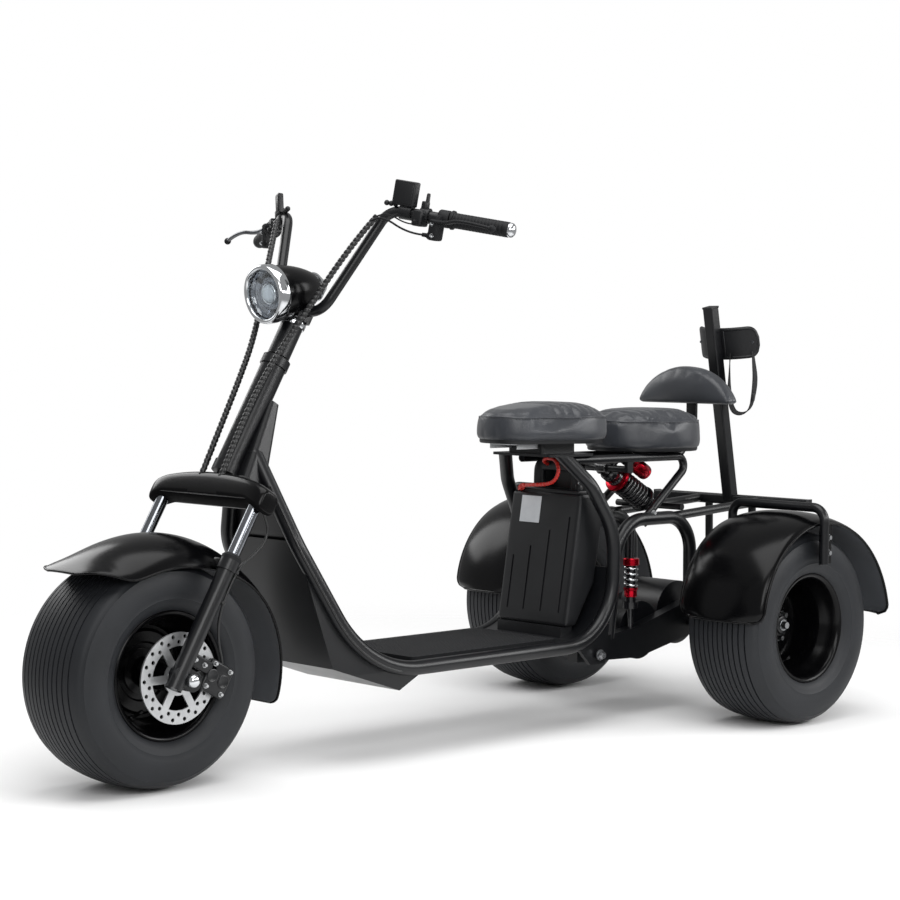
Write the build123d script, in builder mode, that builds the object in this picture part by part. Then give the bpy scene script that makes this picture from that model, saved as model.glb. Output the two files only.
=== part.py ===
import os
from math import cos, radians, sin, sqrt

from build123d import *

os.makedirs("parts", exist_ok=True)

# Driving dimensions, in millimetres and degrees
wheelbase = 1580
tyre_radius = 229
tyre_width = 216
bead_radius = 121
rear_half_track = 370
steering_rake = 30
axle_setback = 13.5
fork_half_width = 151
frame_half_width = 150
frame_tube_radius = 16
frame_tube_height = 194
plate_thickness = 4
fender_front_radius = 250
fender_rear_radius = 290
fender_width = 245
bag_foot_reach = 450
running_clearance = 0.05

# Places that follow from them; the trike faces -Y and its left side is +X
front_y = (tyre_radius - wheelbase - bag_foot_reach) / 2
rear_y = front_y + wheelbase
axle_z = tyre_radius
rake_sin = sin(radians(steering_rake))
rake_cos = cos(radians(steering_rake))
steer_foot = Vector(0, front_y - axle_setback * rake_cos, axle_z + axle_setback * rake_sin)
steer_up = Vector(0, rake_sin, rake_cos)
steer_back = Vector(0, rake_cos, -rake_sin)
fork_level = Plane(origin=steer_foot, x_dir=(1, 0, 0), z_dir=steer_up)
fork_side = Plane(origin=steer_foot, x_dir=steer_back, z_dir=(1, 0, 0))
fork_front = Plane(origin=steer_foot, x_dir=(1, 0, 0), z_dir=-steer_back)
sides = (("left", 1), ("right", -1))


def wheel_section(x, y):
    # Plane through a wheel's axle: local x runs along the axle, local y is the radius
    return Plane(origin=(x, y, axle_z), x_dir=(1, 0, 0), z_dir=(0, -1, 0))


def axle_line(x, y):
    return Axis((x, y, axle_z), (1, 0, 0))


# Tyres: a crowned tread and round sidewalls, hollow down to the beads
tyre_half = tyre_width / 2
tread_half = 0.79 * tyre_half
shoulder_drop = 9
sidewall_mid = (tyre_radius + bead_radius) / 2
bead_outer = 86
bead_width = 10
tyre_wall = 11
shoulder_radius = tyre_radius - shoulder_drop
wheels = (
    ("front", 0, front_y),
    ("rear_left", rear_half_track, rear_y),
    ("rear_right", -rear_half_track, rear_y),
)

tyres = []
for wheel_name, wheel_x, wheel_y in wheels:
    with BuildPart() as tyre:
        with BuildSketch(wheel_section(wheel_x, wheel_y)):
            with BuildLine():
                tread = ThreePointArc(
                    (-tread_half, shoulder_radius),
                    (0, tyre_radius),
                    (tread_half, shoulder_radius),
                )
                wall = ThreePointArc(tread @ 1, (tyre_half, sidewall_mid), (bead_outer, bead_radius))
                bead = Line(wall @ 1, (bead_outer - bead_width, bead_radius))
                lining = ThreePointArc(
                    bead @ 1,
                    (tyre_half - tyre_wall, sidewall_mid),
                    (tread_half - tyre_wall, shoulder_radius - tyre_wall),
                )
                crown = ThreePointArc(
                    lining @ 1,
                    (0, tyre_radius - tyre_wall),
                    (tyre_wall - tread_half, shoulder_radius - tyre_wall),
                )
                far_lining = ThreePointArc(
                    crown @ 1,
                    (tyre_wall - tyre_half, sidewall_mid),
                    (bead_width - bead_outer, bead_radius),
                )
                far_bead = Line(far_lining @ 1, (-bead_outer, bead_radius))
                ThreePointArc(far_bead @ 1, (-tyre_half, sidewall_mid), tread @ 0)
            make_face()
        revolve(axis=axle_line(wheel_x, wheel_y))
    tyre.part.label = f"{wheel_name}_tyre"
    export_step(tyre.part, f"parts/{wheel_name}_tyre.step")
    tyres.append(tyre.part)

# Rims: a rolled barrel with bead flanges, a dished disc and a hub
barrel_wall = 5
flange_width = 6
flange_rise = 8
disc_thickness = 8
front_axle_radius = 8
rear_axle_radius = 12
rotor_x = 119
rotor_thickness = 4
# columns, in the wheels' order: disc offset from the middle, hub radius, hub from, hub to, axle radius
rims = (
    (0, 32, -62, rotor_x, front_axle_radius),
    (-28, 36, -70, 2, rear_axle_radius),
    (28, 36, -2, 70, rear_axle_radius),
)
for (wheel_name, wheel_x, wheel_y), rim_row, wheel_tyre in zip(wheels, rims, tyres):
    disc_x, hub_radius, hub_from, hub_to, axle_radius = rim_row
    bore_radius = axle_radius + running_clearance
    with BuildPart() as rim:
        with BuildSketch(wheel_section(wheel_x, wheel_y)):
            with Locations((0, bead_radius - barrel_wall / 2)):
                Rectangle(2 * bead_outer, barrel_wall)
            with Locations((bead_outer + flange_width / 2, 0), (-bead_outer - flange_width / 2, 0)):
                with Locations((0, bead_radius - barrel_wall)):
                    Rectangle(flange_width, barrel_wall + flange_rise, align=(Align.CENTER, Align.MIN))
            with Locations((disc_x, bore_radius)):
                Rectangle(disc_thickness, bead_radius - bore_radius - 1, align=(Align.CENTER, Align.MIN))
            with Locations((hub_from, bore_radius)):
                Rectangle(hub_to - hub_from, hub_radius - bore_radius, align=(Align.MIN, Align.MIN))
        revolve(axis=axle_line(wheel_x, wheel_y))
        add(wheel_tyre, mode=Mode.SUBTRACT)
    rim.part.label = f"{wheel_name}_rim"
    export_step(rim.part, f"parts/{wheel_name}_rim.step")

# Brake rotor: a drilled ring on a spider, bolted to the hub's outer face
rotor_radius = 90
rotor_band = 27
rotor_arms = 6
rotor_holes = 18
with BuildPart() as brake_rotor:
    with BuildSketch(Plane(origin=(rotor_x, front_y, axle_z), x_dir=(0, 1, 0), z_dir=(1, 0, 0))):
        Circle(rotor_radius)
        Circle(rotor_radius - rotor_band, mode=Mode.SUBTRACT)
        with PolarLocations(0, rotor_arms):
            Rectangle(rotor_radius - rotor_band / 2, 16, align=(Align.MIN, Align.CENTER))
        Circle(34)
        Circle(front_axle_radius + running_clearance, mode=Mode.SUBTRACT)
        with PolarLocations(rotor_radius - 8, rotor_holes):
            Circle(4, mode=Mode.SUBTRACT)
        with PolarLocations(rotor_radius - 19, rotor_holes, start_angle=180 / rotor_holes):
            Circle(4, mode=Mode.SUBTRACT)
    extrude(amount=rotor_thickness)
brake_rotor.part.label = "brake_rotor"
export_step(brake_rotor.part, "parts/brake_rotor.step")

# Fork: heights are measured up the steering axis from the foot of the axle's perpendicular
leg_lead = 9.5
slider_radius = 17
slider_foot = -30
slider_top = 250
stanchion_radius = 13
stanchion_foot = 150
crown_foot = 372
crown_top = 400
head_foot = 436
head_top = 707
stem_foot = 712
stem_top = 800
bar_height = 822
steerer_radius = 17
axle_half_length = fork_half_width + 20

with BuildPart() as front_axle:
    with BuildSketch(Plane(origin=(-axle_half_length, front_y, axle_z), x_dir=(0, 1, 0), z_dir=(1, 0, 0))):
        Circle(front_axle_radius)
    extrude(amount=2 * axle_half_length)
front_axle.part.label = "front_axle"
export_step(front_axle.part, "parts/front_axle.step")

leg_places = [(side * fork_half_width, -leg_lead) for _, side in sides]
with BuildPart() as fork_stanchions:
    with BuildSketch(fork_level.offset(stanchion_foot)):
        with Locations(*leg_places):
            Circle(stanchion_radius)
    extrude(amount=crown_top - stanchion_foot)
fork_stanchions.part.label = "fork_stanchions"
export_step(fork_stanchions.part, "parts/fork_stanchions.step")

collar_height = 26
with BuildPart() as fork_sliders:
    # columns: foot, height, radius
    for foot, height, radius in (
        (slider_foot, slider_top - slider_foot, slider_radius),
        (slider_top - collar_height, collar_height, slider_radius + 3),
    ):
        with BuildSketch(fork_level.offset(foot)):
            with Locations(*leg_places):
                Circle(radius)
        extrude(amount=height)
    for _, side in sides:
        with BuildSketch(fork_side.offset(side * fork_half_width)):
            with Locations((axle_setback / 2, 0)):
                SlotOverall(axle_setback + leg_lead + 44, 40)
        extrude(amount=11, both=True)
    add(front_axle.part, mode=Mode.SUBTRACT)
    add(fork_stanchions.part, mode=Mode.SUBTRACT)
fork_sliders.part.label = "fork_sliders"
export_step(fork_sliders.part, "parts/fork_sliders.step")

# Fork crown and its steerer, which turns in the head tube
crown_half = fork_half_width + 23
with BuildPart() as fork_crown:
    with BuildSketch(fork_level.offset(crown_foot)):
        with Locations((0, -5)):
            RectangleRounded(2 * crown_half, 54, 14)
    extrude(amount=crown_top - crown_foot)
    with BuildSketch(fork_level.offset(crown_top)):
        Circle(steerer_radius)
    extrude(amount=stem_top - crown_top)
    add(fork_stanchions.part, mode=Mode.SUBTRACT)
fork_crown.part.label = "fork_crown"
export_step(fork_crown.part, "parts/fork_crown.step")

# Crown cover: an arched cap over the crown, dropping past its ends
cover_half = crown_half + 9
cover_back = 24
cover_depth = 60
with BuildPart() as crown_cover:
    with BuildSketch(fork_front.offset(-cover_back)):
        with BuildLine():
            cap = ThreePointArc(
                (-cover_half, crown_top + 10),
                (0, crown_top + 29),
                (cover_half, crown_top + 10),
            )
            Polyline(
                cap @ 1,
                (cover_half, crown_foot + 2),
                (crown_half, crown_foot + 2),
                (crown_half, crown_top),
                (-crown_half, crown_top),
                (-crown_half, crown_foot + 2),
                (-cover_half, crown_foot + 2),
                cap @ 0,
            )
        make_face()
    extrude(amount=cover_depth)
    add(fork_crown.part, mode=Mode.SUBTRACT)
crown_cover.part.label = "crown_cover"
export_step(crown_cover.part, "parts/crown_cover.step")

# Head tube on the frame, with a cup at each end
head_radius = 27
cup_radius = 30
with BuildPart() as head_tube:
    for foot, height, radius in (
        (head_foot, head_top - head_foot, head_radius),
        (head_foot, 22, cup_radius),
        (head_top - 20, 20, cup_radius),
    ):
        with BuildSketch(fork_level.offset(foot)):
            Circle(radius)
        extrude(amount=height)
    with BuildSketch(fork_level.offset(head_foot)):
        Circle(steerer_radius + running_clearance)
    extrude(amount=head_top - head_foot, mode=Mode.SUBTRACT)
head_tube.part.label = "head_tube"
export_step(head_tube.part, "parts/head_tube.step")

# Handlebar: a low clamp run, tall risers and swept-back grips
bar_radius = 11
bar_centre = steer_foot + steer_up * bar_height
low_bend = Vector(75, 0, 0)
high_bend = Vector(162, 107, 213)
bar_end = Vector(400, 220, 168)


def bar_point(offset, side):
    return bar_centre + Vector(side * offset.X, offset.Y, offset.Z)


with BuildPart() as handlebar:
    with BuildLine():
        bar_run = FilletPolyline(
            bar_point(bar_end, 1),
            bar_point(high_bend, 1),
            bar_point(low_bend, 1),
            bar_point(low_bend, -1),
            bar_point(high_bend, -1),
            bar_point(bar_end, -1),
            radius=45,
        )
    with BuildSketch(Plane(origin=bar_run @ 0, z_dir=bar_run % 0)):
        Circle(bar_radius)
    sweep()
handlebar.part.label = "handlebar"
export_step(handlebar.part, "parts/handlebar.step")

# Stem: a sleeve above the head tube with the bar's clamp on top
with BuildPart() as stem:
    with BuildSketch(fork_level.offset(stem_foot)):
        Circle(24)
        Circle(steerer_radius, mode=Mode.SUBTRACT)
    extrude(amount=stem_top - stem_foot)
    with BuildSketch(fork_level.offset(stem_top)):
        RectangleRounded(64, 40, 6)
    extrude(amount=2 * (bar_height - stem_top) - 4)
    add(handlebar.part, mode=Mode.SUBTRACT)
stem.part.label = "stem"
export_step(stem.part, "parts/stem.step")

# Grips, end caps, levers and the boxes on the bar
grip_length = 122
grip_radius = 16
lever_reach = 142
lever_ball = Vector(424, 145, 166)


def grip_plane(side):
    # Plane across a grip at the bar's end, looking inwards along the bar
    end_point = bar_point(bar_end, side)
    return Plane(origin=end_point, z_dir=bar_point(high_bend, side) - end_point)


with BuildPart() as grips:
    for _, side in sides:
        for foot, height, radius in ((0, grip_length, grip_radius), (grip_length, 5, grip_radius + 4)):
            with BuildSketch(grip_plane(side).offset(foot)):
                Circle(radius)
                Circle(bar_radius, mode=Mode.SUBTRACT)
            extrude(amount=height)
grips.part.label = "grips"
export_step(grips.part, "parts/grips.step")

with BuildPart() as grip_caps:
    for _, side in sides:
        with BuildSketch(grip_plane(side)):
            Circle(grip_radius - 1)
        extrude(amount=-9)
grip_caps.part.label = "grip_caps"
export_step(grip_caps.part, "parts/grip_caps.step")

perch = grip_plane(1).offset(lever_reach).origin
lever_pivot = perch + Vector(0, -30, -4)
lever_line = bar_point(lever_ball, 1) - lever_pivot
with BuildPart() as brake_levers:
    with BuildSketch(grip_plane(1).offset(lever_reach - 12)):
        Circle(17)
    extrude(amount=24)
    with BuildSketch(Plane(origin=perch, x_dir=(1, 0, 0), z_dir=(0, -1, 0))):
        Rectangle(24, 18)
    extrude(amount=40)
    with BuildSketch(Plane(origin=lever_pivot, z_dir=lever_line)):
        Circle(5)
    extrude(amount=lever_line.length)
    with Locations(lever_pivot + lever_line + lever_line.normalized() * 4):
        Sphere(8)
    add(handlebar.part, mode=Mode.SUBTRACT)
    mirror(about=Plane.YZ)
brake_levers.part.label = "brake_levers"
export_step(brake_levers.part, "parts/brake_levers.step")

# columns: name, side, distance from the bar's end, box size, height of the box's middle over the bar
bar_boxes = (
    ("dash_box", 1, 228, (50, 30, 54), 38),
    ("switch_box", -1, 222, (30, 30, 46), 34),
)
for box_name, side, reach, box_size, rise in bar_boxes:
    box_plane = grip_plane(side).offset(reach)
    with BuildPart() as bar_box:
        with BuildSketch(box_plane.offset(-14)):
            Circle(16)
        extrude(amount=28)
        with Locations(box_plane.origin + Vector(0, 12, rise)):
            Box(*box_size)
        add(handlebar.part, mode=Mode.SUBTRACT)
    bar_box.part.label = box_name
    export_step(bar_box.part, f"parts/{box_name}.step")

# Headlamp: a bullet shell on the clamp, with a bezel and a domed lens
lamp_tilt = 8
lamp_centre = bar_centre + Vector(0, -62, 38)
lamp_axis = Vector(0, cos(radians(lamp_tilt)), sin(radians(lamp_tilt)))
lamp_plane = Plane(origin=lamp_centre, x_dir=lamp_axis, z_dir=(1, 0, 0))
lamp_turn = Axis(lamp_centre, lamp_axis)
shell_radius = 57
bezel_radius = 62
lens_radius = 52
lamp_back = -10
lens_rim = lamp_back - 14
lens_bulge = 9
with BuildPart() as lamp_shell:
    with BuildSketch(lamp_plane):
        with BuildLine():
            hull = ThreePointArc((lamp_back, shell_radius), (70, 44), (128, 14))
            Polyline(hull @ 1, (132, 0), (lamp_back, 0), hull @ 0)
        make_face()
    revolve(axis=lamp_turn)
    for piece in (stem.part, handlebar.part, fork_crown.part):
        add(piece, mode=Mode.SUBTRACT)
lamp_shell.part.label = "headlamp_shell"
export_step(lamp_shell.part, "parts/headlamp_shell.step")

with BuildPart() as lamp_bezel:
    with BuildSketch(lamp_plane):
        with Locations((lamp_back, lens_radius)):
            Rectangle(26, bezel_radius - lens_radius, align=(Align.MAX, Align.MIN))
    revolve(axis=lamp_turn)
    fillet(lamp_bezel.edges().filter_by(GeomType.CIRCLE).sort_by(Axis.Y)[0], 4)
lamp_bezel.part.label = "headlamp_bezel"
export_step(lamp_bezel.part, "parts/headlamp_bezel.step")

with BuildPart() as lamp_lens:
    with BuildSketch(lamp_plane):
        with BuildLine():
            ThreePointArc((lens_rim, lens_radius), (lens_rim - lens_bulge, 0), (lens_rim, -lens_radius))
            Polyline(
                (lens_rim, -lens_radius),
                (lamp_back, -lens_radius),
                (lamp_back, lens_radius),
                (lens_rim, lens_radius),
            )
        make_face()
        split(bisect_by=Plane.XZ)
    revolve(axis=lamp_turn)
lamp_lens.part.label = "headlamp_lens"
export_step(lamp_lens.part, "parts/headlamp_lens.step")

# Wire harnesses: from each riser past the lamp and down ahead of the head tube
harness_radius = 6
harness_route = (
    (150, 58, 178),
    (112, 6, 92),
    (80, -38, 8),
    (52, -82, -68),
    (37, -130, -147),
    (32, -178, -236),
    (32, -228, -337),
)
with BuildPart() as harnesses:
    for _, side in sides:
        with BuildLine():
            wires = FilletPolyline(*[bar_point(Vector(*point), side) for point in harness_route], radius=60)
        with BuildSketch(Plane(origin=wires @ 0, z_dir=wires % 0)):
            Circle(harness_radius)
        sweep()
    add(crown_cover.part, mode=Mode.SUBTRACT)
harnesses.part.label = "harnesses"
export_step(harnesses.part, "parts/harnesses.step")

# Front fender: a sheet lofted round the wheel, with side skirts and a beak, on a lug at each slider
fender_sheet = 4
lug_x = 108
# columns: angle up from the rear, radius at the middle, half width, drop of the side edges
fender_stations = (
    (-17, 284, 100, 8),
    (15, 284, 105, 14),
    (45, 283, 111, 36),
    (72, 278, 115, 57),
    (98, 272, 116, 60),
    (118, 274, 115, 40),
    (129, 286, 110, 12),
    (137, 298, 84, 4),
)
with BuildPart() as front_fender:
    for angle, middle, half, drop in fender_stations:
        station = Plane(
            origin=(0, front_y, axle_z),
            x_dir=(1, 0, 0),
            z_dir=(0, -sin(radians(angle)), cos(radians(angle))),
        )
        with BuildSketch(station):
            with BuildLine():
                top = ThreePointArc((-half, middle - drop), (0, middle), (half, middle - drop))
                under = ThreePointArc(
                    (half, middle - drop - fender_sheet),
                    (0, middle - fender_sheet),
                    (-half, middle - drop - fender_sheet),
                )
                Line(top @ 1, under @ 0)
                Line(under @ 1, top @ 0)
            make_face()
    loft()
    for _, side in sides:
        with BuildSketch(fork_side.offset(side * lug_x)):
            with Locations((-leg_lead, slider_top - 14)):
                Rectangle(22, 24)
        extrude(amount=side * (fork_half_width - lug_x))
    for leg in (fork_sliders.part, fork_stanchions.part):
        add(leg, mode=Mode.SUBTRACT)
front_fender.part.label = "front_fender"
export_step(front_fender.part, "parts/front_fender.step")

# Brake caliper astride the rotor, on a plate from the left slider
with BuildPart() as caliper:
    with BuildSketch(fork_side.offset(rotor_x - 20)):
        with Locations((88, 34)):
            RectangleRounded(60, 66, 8)
    extrude(amount=42)
    with BuildSketch(fork_side.offset(rotor_x - 5)):
        Rectangle(300, 300)
    extrude(amount=rotor_thickness + 10, mode=Mode.SUBTRACT)
    with BuildSketch(fork_side.offset(rotor_x - 20)):
        with Locations((114, 34)):
            Rectangle(8, 50)
    extrude(amount=42)
    with BuildSketch(fork_side.offset(rotor_x + 10)):
        with Locations((34, 44)):
            Rectangle(90, 26)
    extrude(amount=12)
    add(fork_sliders.part, mode=Mode.SUBTRACT)
caliper.part.label = "brake_caliper"
export_step(caliper.part, "parts/brake_caliper.step")

# Frame side tubes: from the head tube down to the deck and up behind the battery to the seat
neck_y = front_y + 257
knee_y = front_y + 305
deck_front_y = front_y + 467
loop_y = rear_y - 342
loop_top_x = 74
seat_plate_z = 627
with BuildPart() as frame_tubes:
    for _, side in sides:
        with BuildLine():
            tube_run = FilletPolyline(
                (side * 30, neck_y, 660),
                (side * 0.75 * frame_half_width, knee_y, 470),
                (side * frame_half_width, deck_front_y, frame_tube_height),
                (side * frame_half_width, loop_y, frame_tube_height),
                (side * frame_half_width, loop_y, 455),
                (side * (frame_half_width - 15), loop_y - 65, 562),
                (side * loop_top_x, loop_y - 140, 660),
                radius=(150, 250, 160, 180, 90),
            )
        with BuildSketch(Plane(origin=tube_run @ 0, z_dir=tube_run % 0)):
            Circle(frame_tube_radius)
        sweep()
    with Locations((0, loop_y - 120, seat_plate_z)):
        Box(4 * frame_half_width, 160, 90, align=(Align.CENTER, Align.CENTER, Align.MIN), mode=Mode.SUBTRACT)
    add(head_tube.part, mode=Mode.SUBTRACT)
frame_tubes.part.label = "frame_tubes"
export_step(frame_tubes.part, "parts/frame_tubes.step")

# Neck shell: a flared gusset behind the head tube
with BuildPart() as neck_shell:
    with BuildSketch(fork_level.offset(head_foot + 4)):
        with Locations((0, 42)):
            RectangleRounded(112, 64, 14)
    with BuildSketch(fork_level.offset(head_foot + 180)):
        with Locations((0, 22)):
            RectangleRounded(60, 28, 10)
    loft(ruled=True)
    add(frame_tubes.part, mode=Mode.SUBTRACT)
    add(head_tube.part, mode=Mode.SUBTRACT)
    with BuildSketch(fork_level.offset(head_foot)):
        Circle(head_radius)
    extrude(amount=head_top - head_foot, mode=Mode.SUBTRACT)
neck_shell.part.label = "neck_shell"
export_step(neck_shell.part, "parts/neck_shell.step")

# Apron and deck plates between the side tubes
plate_rise = 11
apron_top_z = 600
apron_end_y = deck_front_y + 180
apron_outline = (  # x, z as seen from the front
    (-38, 640),
    (38, 640),
    (0.75 * frame_half_width, 470),
    (frame_half_width, frame_tube_height),
    (frame_half_width, 100),
    (-frame_half_width, 100),
    (-frame_half_width, frame_tube_height),
    (-0.75 * frame_half_width, 470),
)
with BuildPart() as apron:
    with BuildSketch(Plane.YZ):
        with BuildLine():
            FilletPolyline(
                (front_y + 272, apron_top_z),
                (knee_y, 470),
                (deck_front_y, frame_tube_height),
                (apron_end_y, frame_tube_height),
                radius=(150, 250),
            )
            offset(amount=plate_rise, side=Side.LEFT, closed=False)
            offset(amount=plate_thickness, side=Side.LEFT)
        make_face()
    extrude(amount=frame_half_width, both=True)
    with BuildSketch(Plane.XZ.offset(-front_y)):
        Polygon(*apron_outline, align=None)
    extrude(amount=-wheelbase, mode=Mode.INTERSECT)
    add(frame_tubes.part, mode=Mode.SUBTRACT)
    add(neck_shell.part, mode=Mode.SUBTRACT)
apron.part.label = "apron"
export_step(apron.part, "parts/apron.step")

deck_top = frame_tube_height + plate_rise
deck_bend = 160
with BuildPart() as deck:
    with BuildSketch(Plane.YZ):
        with BuildLine():
            FilletPolyline(
                (apron_end_y, frame_tube_height),
                (loop_y, frame_tube_height),
                (loop_y, frame_tube_height + deck_bend + 15),
                radius=deck_bend,
            )
            offset(amount=plate_rise, side=Side.LEFT, closed=False)
            offset(amount=plate_thickness, side=Side.LEFT)
        make_face()
    extrude(amount=frame_half_width, both=True)
    add(frame_tubes.part, mode=Mode.SUBTRACT)
deck.part.label = "deck"
export_step(deck.part, "parts/deck.step")

mat_thickness = 8
mat_front_y = apron_end_y - 30
mat_back_y = loop_y - 165
with BuildPart() as deck_mat:
    with BuildSketch(Plane.XY.offset(deck_top)):
        with Locations((0, (mat_front_y + mat_back_y) / 2)):
            RectangleRounded(2 * frame_half_width - 46, mat_back_y - mat_front_y, 12)
    extrude(amount=mat_thickness)
deck_mat.part.label = "deck_mat"
export_step(deck_mat.part, "parts/deck_mat.step")

# Belly box: the closed wedge ahead of the apron and under its bend, between the tubes
belly_foot = (deck_front_y + 93, 150)
belly_nose = (deck_front_y - 92, 212)
belly_head = (knee_y - 18, 540)
with BuildPart() as belly_box:
    with BuildSketch(Plane.YZ):
        with BuildLine():
            belly_top = FilletPolyline(
                belly_head,
                (knee_y, 470),
                (deck_front_y, frame_tube_height),
                (apron_end_y, frame_tube_height),
                radius=(150, 250),
            )
            Polyline(belly_top @ 1, belly_foot, belly_nose, belly_top @ 0)
        make_face()
    extrude(amount=frame_half_width, both=True)
    with BuildSketch(Plane.XZ.offset(-front_y)):
        Polygon(*apron_outline, align=None)
    extrude(amount=-wheelbase, mode=Mode.INTERSECT)
    for piece in (frame_tubes.part, apron.part, neck_shell.part):
        add(piece, mode=Mode.SUBTRACT)
belly_box.part.label = "belly_box"
export_step(belly_box.part, "parts/belly_box.step")

# Battery: a leaning case with a carrying handle, on a foot over the deck
battery_half = 110
battery_foot_z = 233
battery_top_z = 540
battery_y = rear_y - 463
battery_lean = 49
bend_y = loop_y - deck_bend
bend_z = frame_tube_height + deck_bend
bend_inside = deck_bend - plate_rise


def bend_point(y):
    # Point on the upper face of the deck's rear bend
    return (y, bend_z - sqrt(bend_inside**2 - (y - bend_y) ** 2))


with BuildPart() as battery_foot:
    with BuildSketch(Plane.YZ):
        with BuildLine():
            rest = ThreePointArc(
                bend_point(battery_y - 6),
                bend_point(battery_y + 14),
                bend_point(battery_y + 32),
            )
            Polyline(rest @ 1, (battery_y + 32, battery_foot_z), (battery_y - 6, battery_foot_z), rest @ 0)
        make_face()
    extrude(amount=battery_half - 8, both=True)
battery_foot.part.label = "battery_foot"
export_step(battery_foot.part, "parts/battery_foot.step")

with BuildPart() as battery:
    with BuildSketch(Plane.YZ):
        Polygon(
            (battery_y, battery_foot_z), (battery_y + battery_lean, battery_top_z),
            (battery_y + battery_lean + 92, battery_top_z), (battery_y + 100, 330),
            (battery_y + 38, battery_foot_z), align=None,
        )
    extrude(amount=battery_half, both=True)
    fillet(battery.edges().filter_by(Plane.YZ, reverse=True).group_by(Axis.Z)[-1], 8)
    with Locations((0, battery_y + battery_lean + 42, battery_top_z)):
        Box(130, 34, 68, align=(Align.CENTER, Align.CENTER, Align.MIN))
        Box(94, 60, 44, align=(Align.CENTER, Align.CENTER, Align.MIN), mode=Mode.SUBTRACT)
battery.part.label = "battery"
export_step(battery.part, "parts/battery.step")

# Rear axle: a housing with a differential, and a stub for each wheel
housing_radius = 30
housing_half = rear_half_track - tyre_half - 8
with BuildPart() as rear_axle:
    with BuildSketch(wheel_section(0, rear_y)):
        Rectangle(2 * housing_half, housing_radius, align=(Align.CENTER, Align.MIN))
        Rectangle(2 * (rear_half_track + 14), rear_axle_radius, align=(Align.CENTER, Align.MIN))
        Rectangle(120, 78, align=(Align.CENTER, Align.MIN))
    revolve(axis=axle_line(0, rear_y))
rear_axle.part.label = "rear_axle"
export_step(rear_axle.part, "parts/rear_axle.step")

# Swing arms from the pivot under the loops to the axle housing
arm_x = 95
arm_width = 30
pivot_y = rear_y - 399
pivot_z = 170
pivot_radius = 12
pivot_half = frame_half_width + 14
with BuildPart() as pivot_mount:
    with BuildSketch(Plane(origin=(-pivot_half, pivot_y, pivot_z), x_dir=(0, 1, 0), z_dir=(1, 0, 0))):
        Circle(pivot_radius)
    extrude(amount=2 * pivot_half)
    for _, side in sides:
        with BuildSketch(Plane.YZ.offset(side * frame_half_width)):
            Polygon(
                (pivot_y - 70, frame_tube_height), (pivot_y + 40, frame_tube_height + 46),
                (pivot_y + 26, pivot_z - 22), (pivot_y - 24, pivot_z - 22), align=None,
            )
        extrude(amount=5, both=True)
    for piece in (frame_tubes.part, deck.part):
        add(piece, mode=Mode.SUBTRACT)
pivot_mount.part.label = "pivot_mount"
export_step(pivot_mount.part, "parts/pivot_mount.step")

with BuildPart() as swing_arms:
    for _, side in sides:
        with BuildSketch(Plane.YZ.offset(side * arm_x)):
            Polygon(
                (pivot_y - 20, pivot_z - 22), (pivot_y - 20, pivot_z + 20), (rear_y - 200, pivot_z + 45),
                (rear_y + 20, axle_z + 44), (rear_y + 44, axle_z), (rear_y + 20, axle_z - 44),
                (rear_y - 200, pivot_z - 30), align=None,
            )
        extrude(amount=arm_width / 2, both=True)
    for piece in (rear_axle.part, pivot_mount.part):
        add(piece, mode=Mode.SUBTRACT)
swing_arms.part.label = "swing_arms"
export_step(swing_arms.part, "parts/swing_arms.step")

# Motor: a closed drum between the arms
motor_y = rear_y - 165
motor_z = 200
motor_radius = 70
motor_half = arm_x - arm_width / 2
with BuildPart() as motor:
    with BuildSketch(Plane(origin=(-motor_half, motor_y, motor_z), x_dir=(0, 1, 0), z_dir=(1, 0, 0))):
        Circle(motor_radius)
    extrude(amount=2 * motor_half)
motor.part.label = "motor"
export_step(motor.part, "parts/motor.step")

# Rear hoops: an arch over each arm, carrying the shock's lower end
hoop_radius = 16
hoop_top_z = 470
with BuildPart() as rear_hoops:
    for _, side in sides:
        with BuildLine():
            arch = FilletPolyline(
                (side * arm_x, rear_y - 298, pivot_z + 10),
                (side * arm_x, rear_y - 262, hoop_top_z),
                (side * arm_x, rear_y + 2, hoop_top_z),
                (side * arm_x, rear_y + 6, axle_z),
                radius=(95, 85),
            )
        with BuildSketch(Plane(origin=arch @ 0, z_dir=arch % 0)):
            Circle(hoop_radius)
        sweep()
    for piece in (swing_arms.part, rear_axle.part):
        add(piece, mode=Mode.SUBTRACT)
    with Locations((0, rear_y - 290, pivot_z)):
        Box(4 * arm_x, 120, 44, mode=Mode.SUBTRACT)
rear_hoops.part.label = "rear_hoops"
export_step(rear_hoops.part, "parts/rear_hoops.step")

# Seat plate over the loops, with a block under the front seat and a panel down to the battery
front_seat_y = rear_y - 432
front_seat_z = 660
seat_plate_front = rear_y - 504
seat_plate_back = rear_y - 350
seat_plate_thickness = 6
seat_plate_half = loop_top_x + 24
seat_block_width = 112
seat_block_length = 116
back_panel_width = 132
back_panel_height = seat_plate_z - battery_top_z - 2
back_panel_thickness = 3
with BuildPart() as seat_plate:
    with BuildSketch(Plane.XY.offset(seat_plate_z)):
        with Locations((0, (seat_plate_front + seat_plate_back) / 2)):
            RectangleRounded(2 * seat_plate_half, seat_plate_back - seat_plate_front, 16)
    extrude(amount=seat_plate_thickness)
    with BuildSketch(Plane.XY.offset(seat_plate_z + seat_plate_thickness)):
        with Locations((0, front_seat_y)):
            RectangleRounded(seat_block_width, seat_block_length, 10)
    extrude(amount=front_seat_z - seat_plate_z - seat_plate_thickness)
    with Locations((0, seat_plate_back, seat_plate_z)):
        Box(
            back_panel_width,
            back_panel_thickness,
            back_panel_height,
            align=(Align.CENTER, Align.MAX, Align.MAX),
        )
seat_plate.part.label = "seat_plate"
export_step(seat_plate.part, "parts/seat_plate.step")

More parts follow.
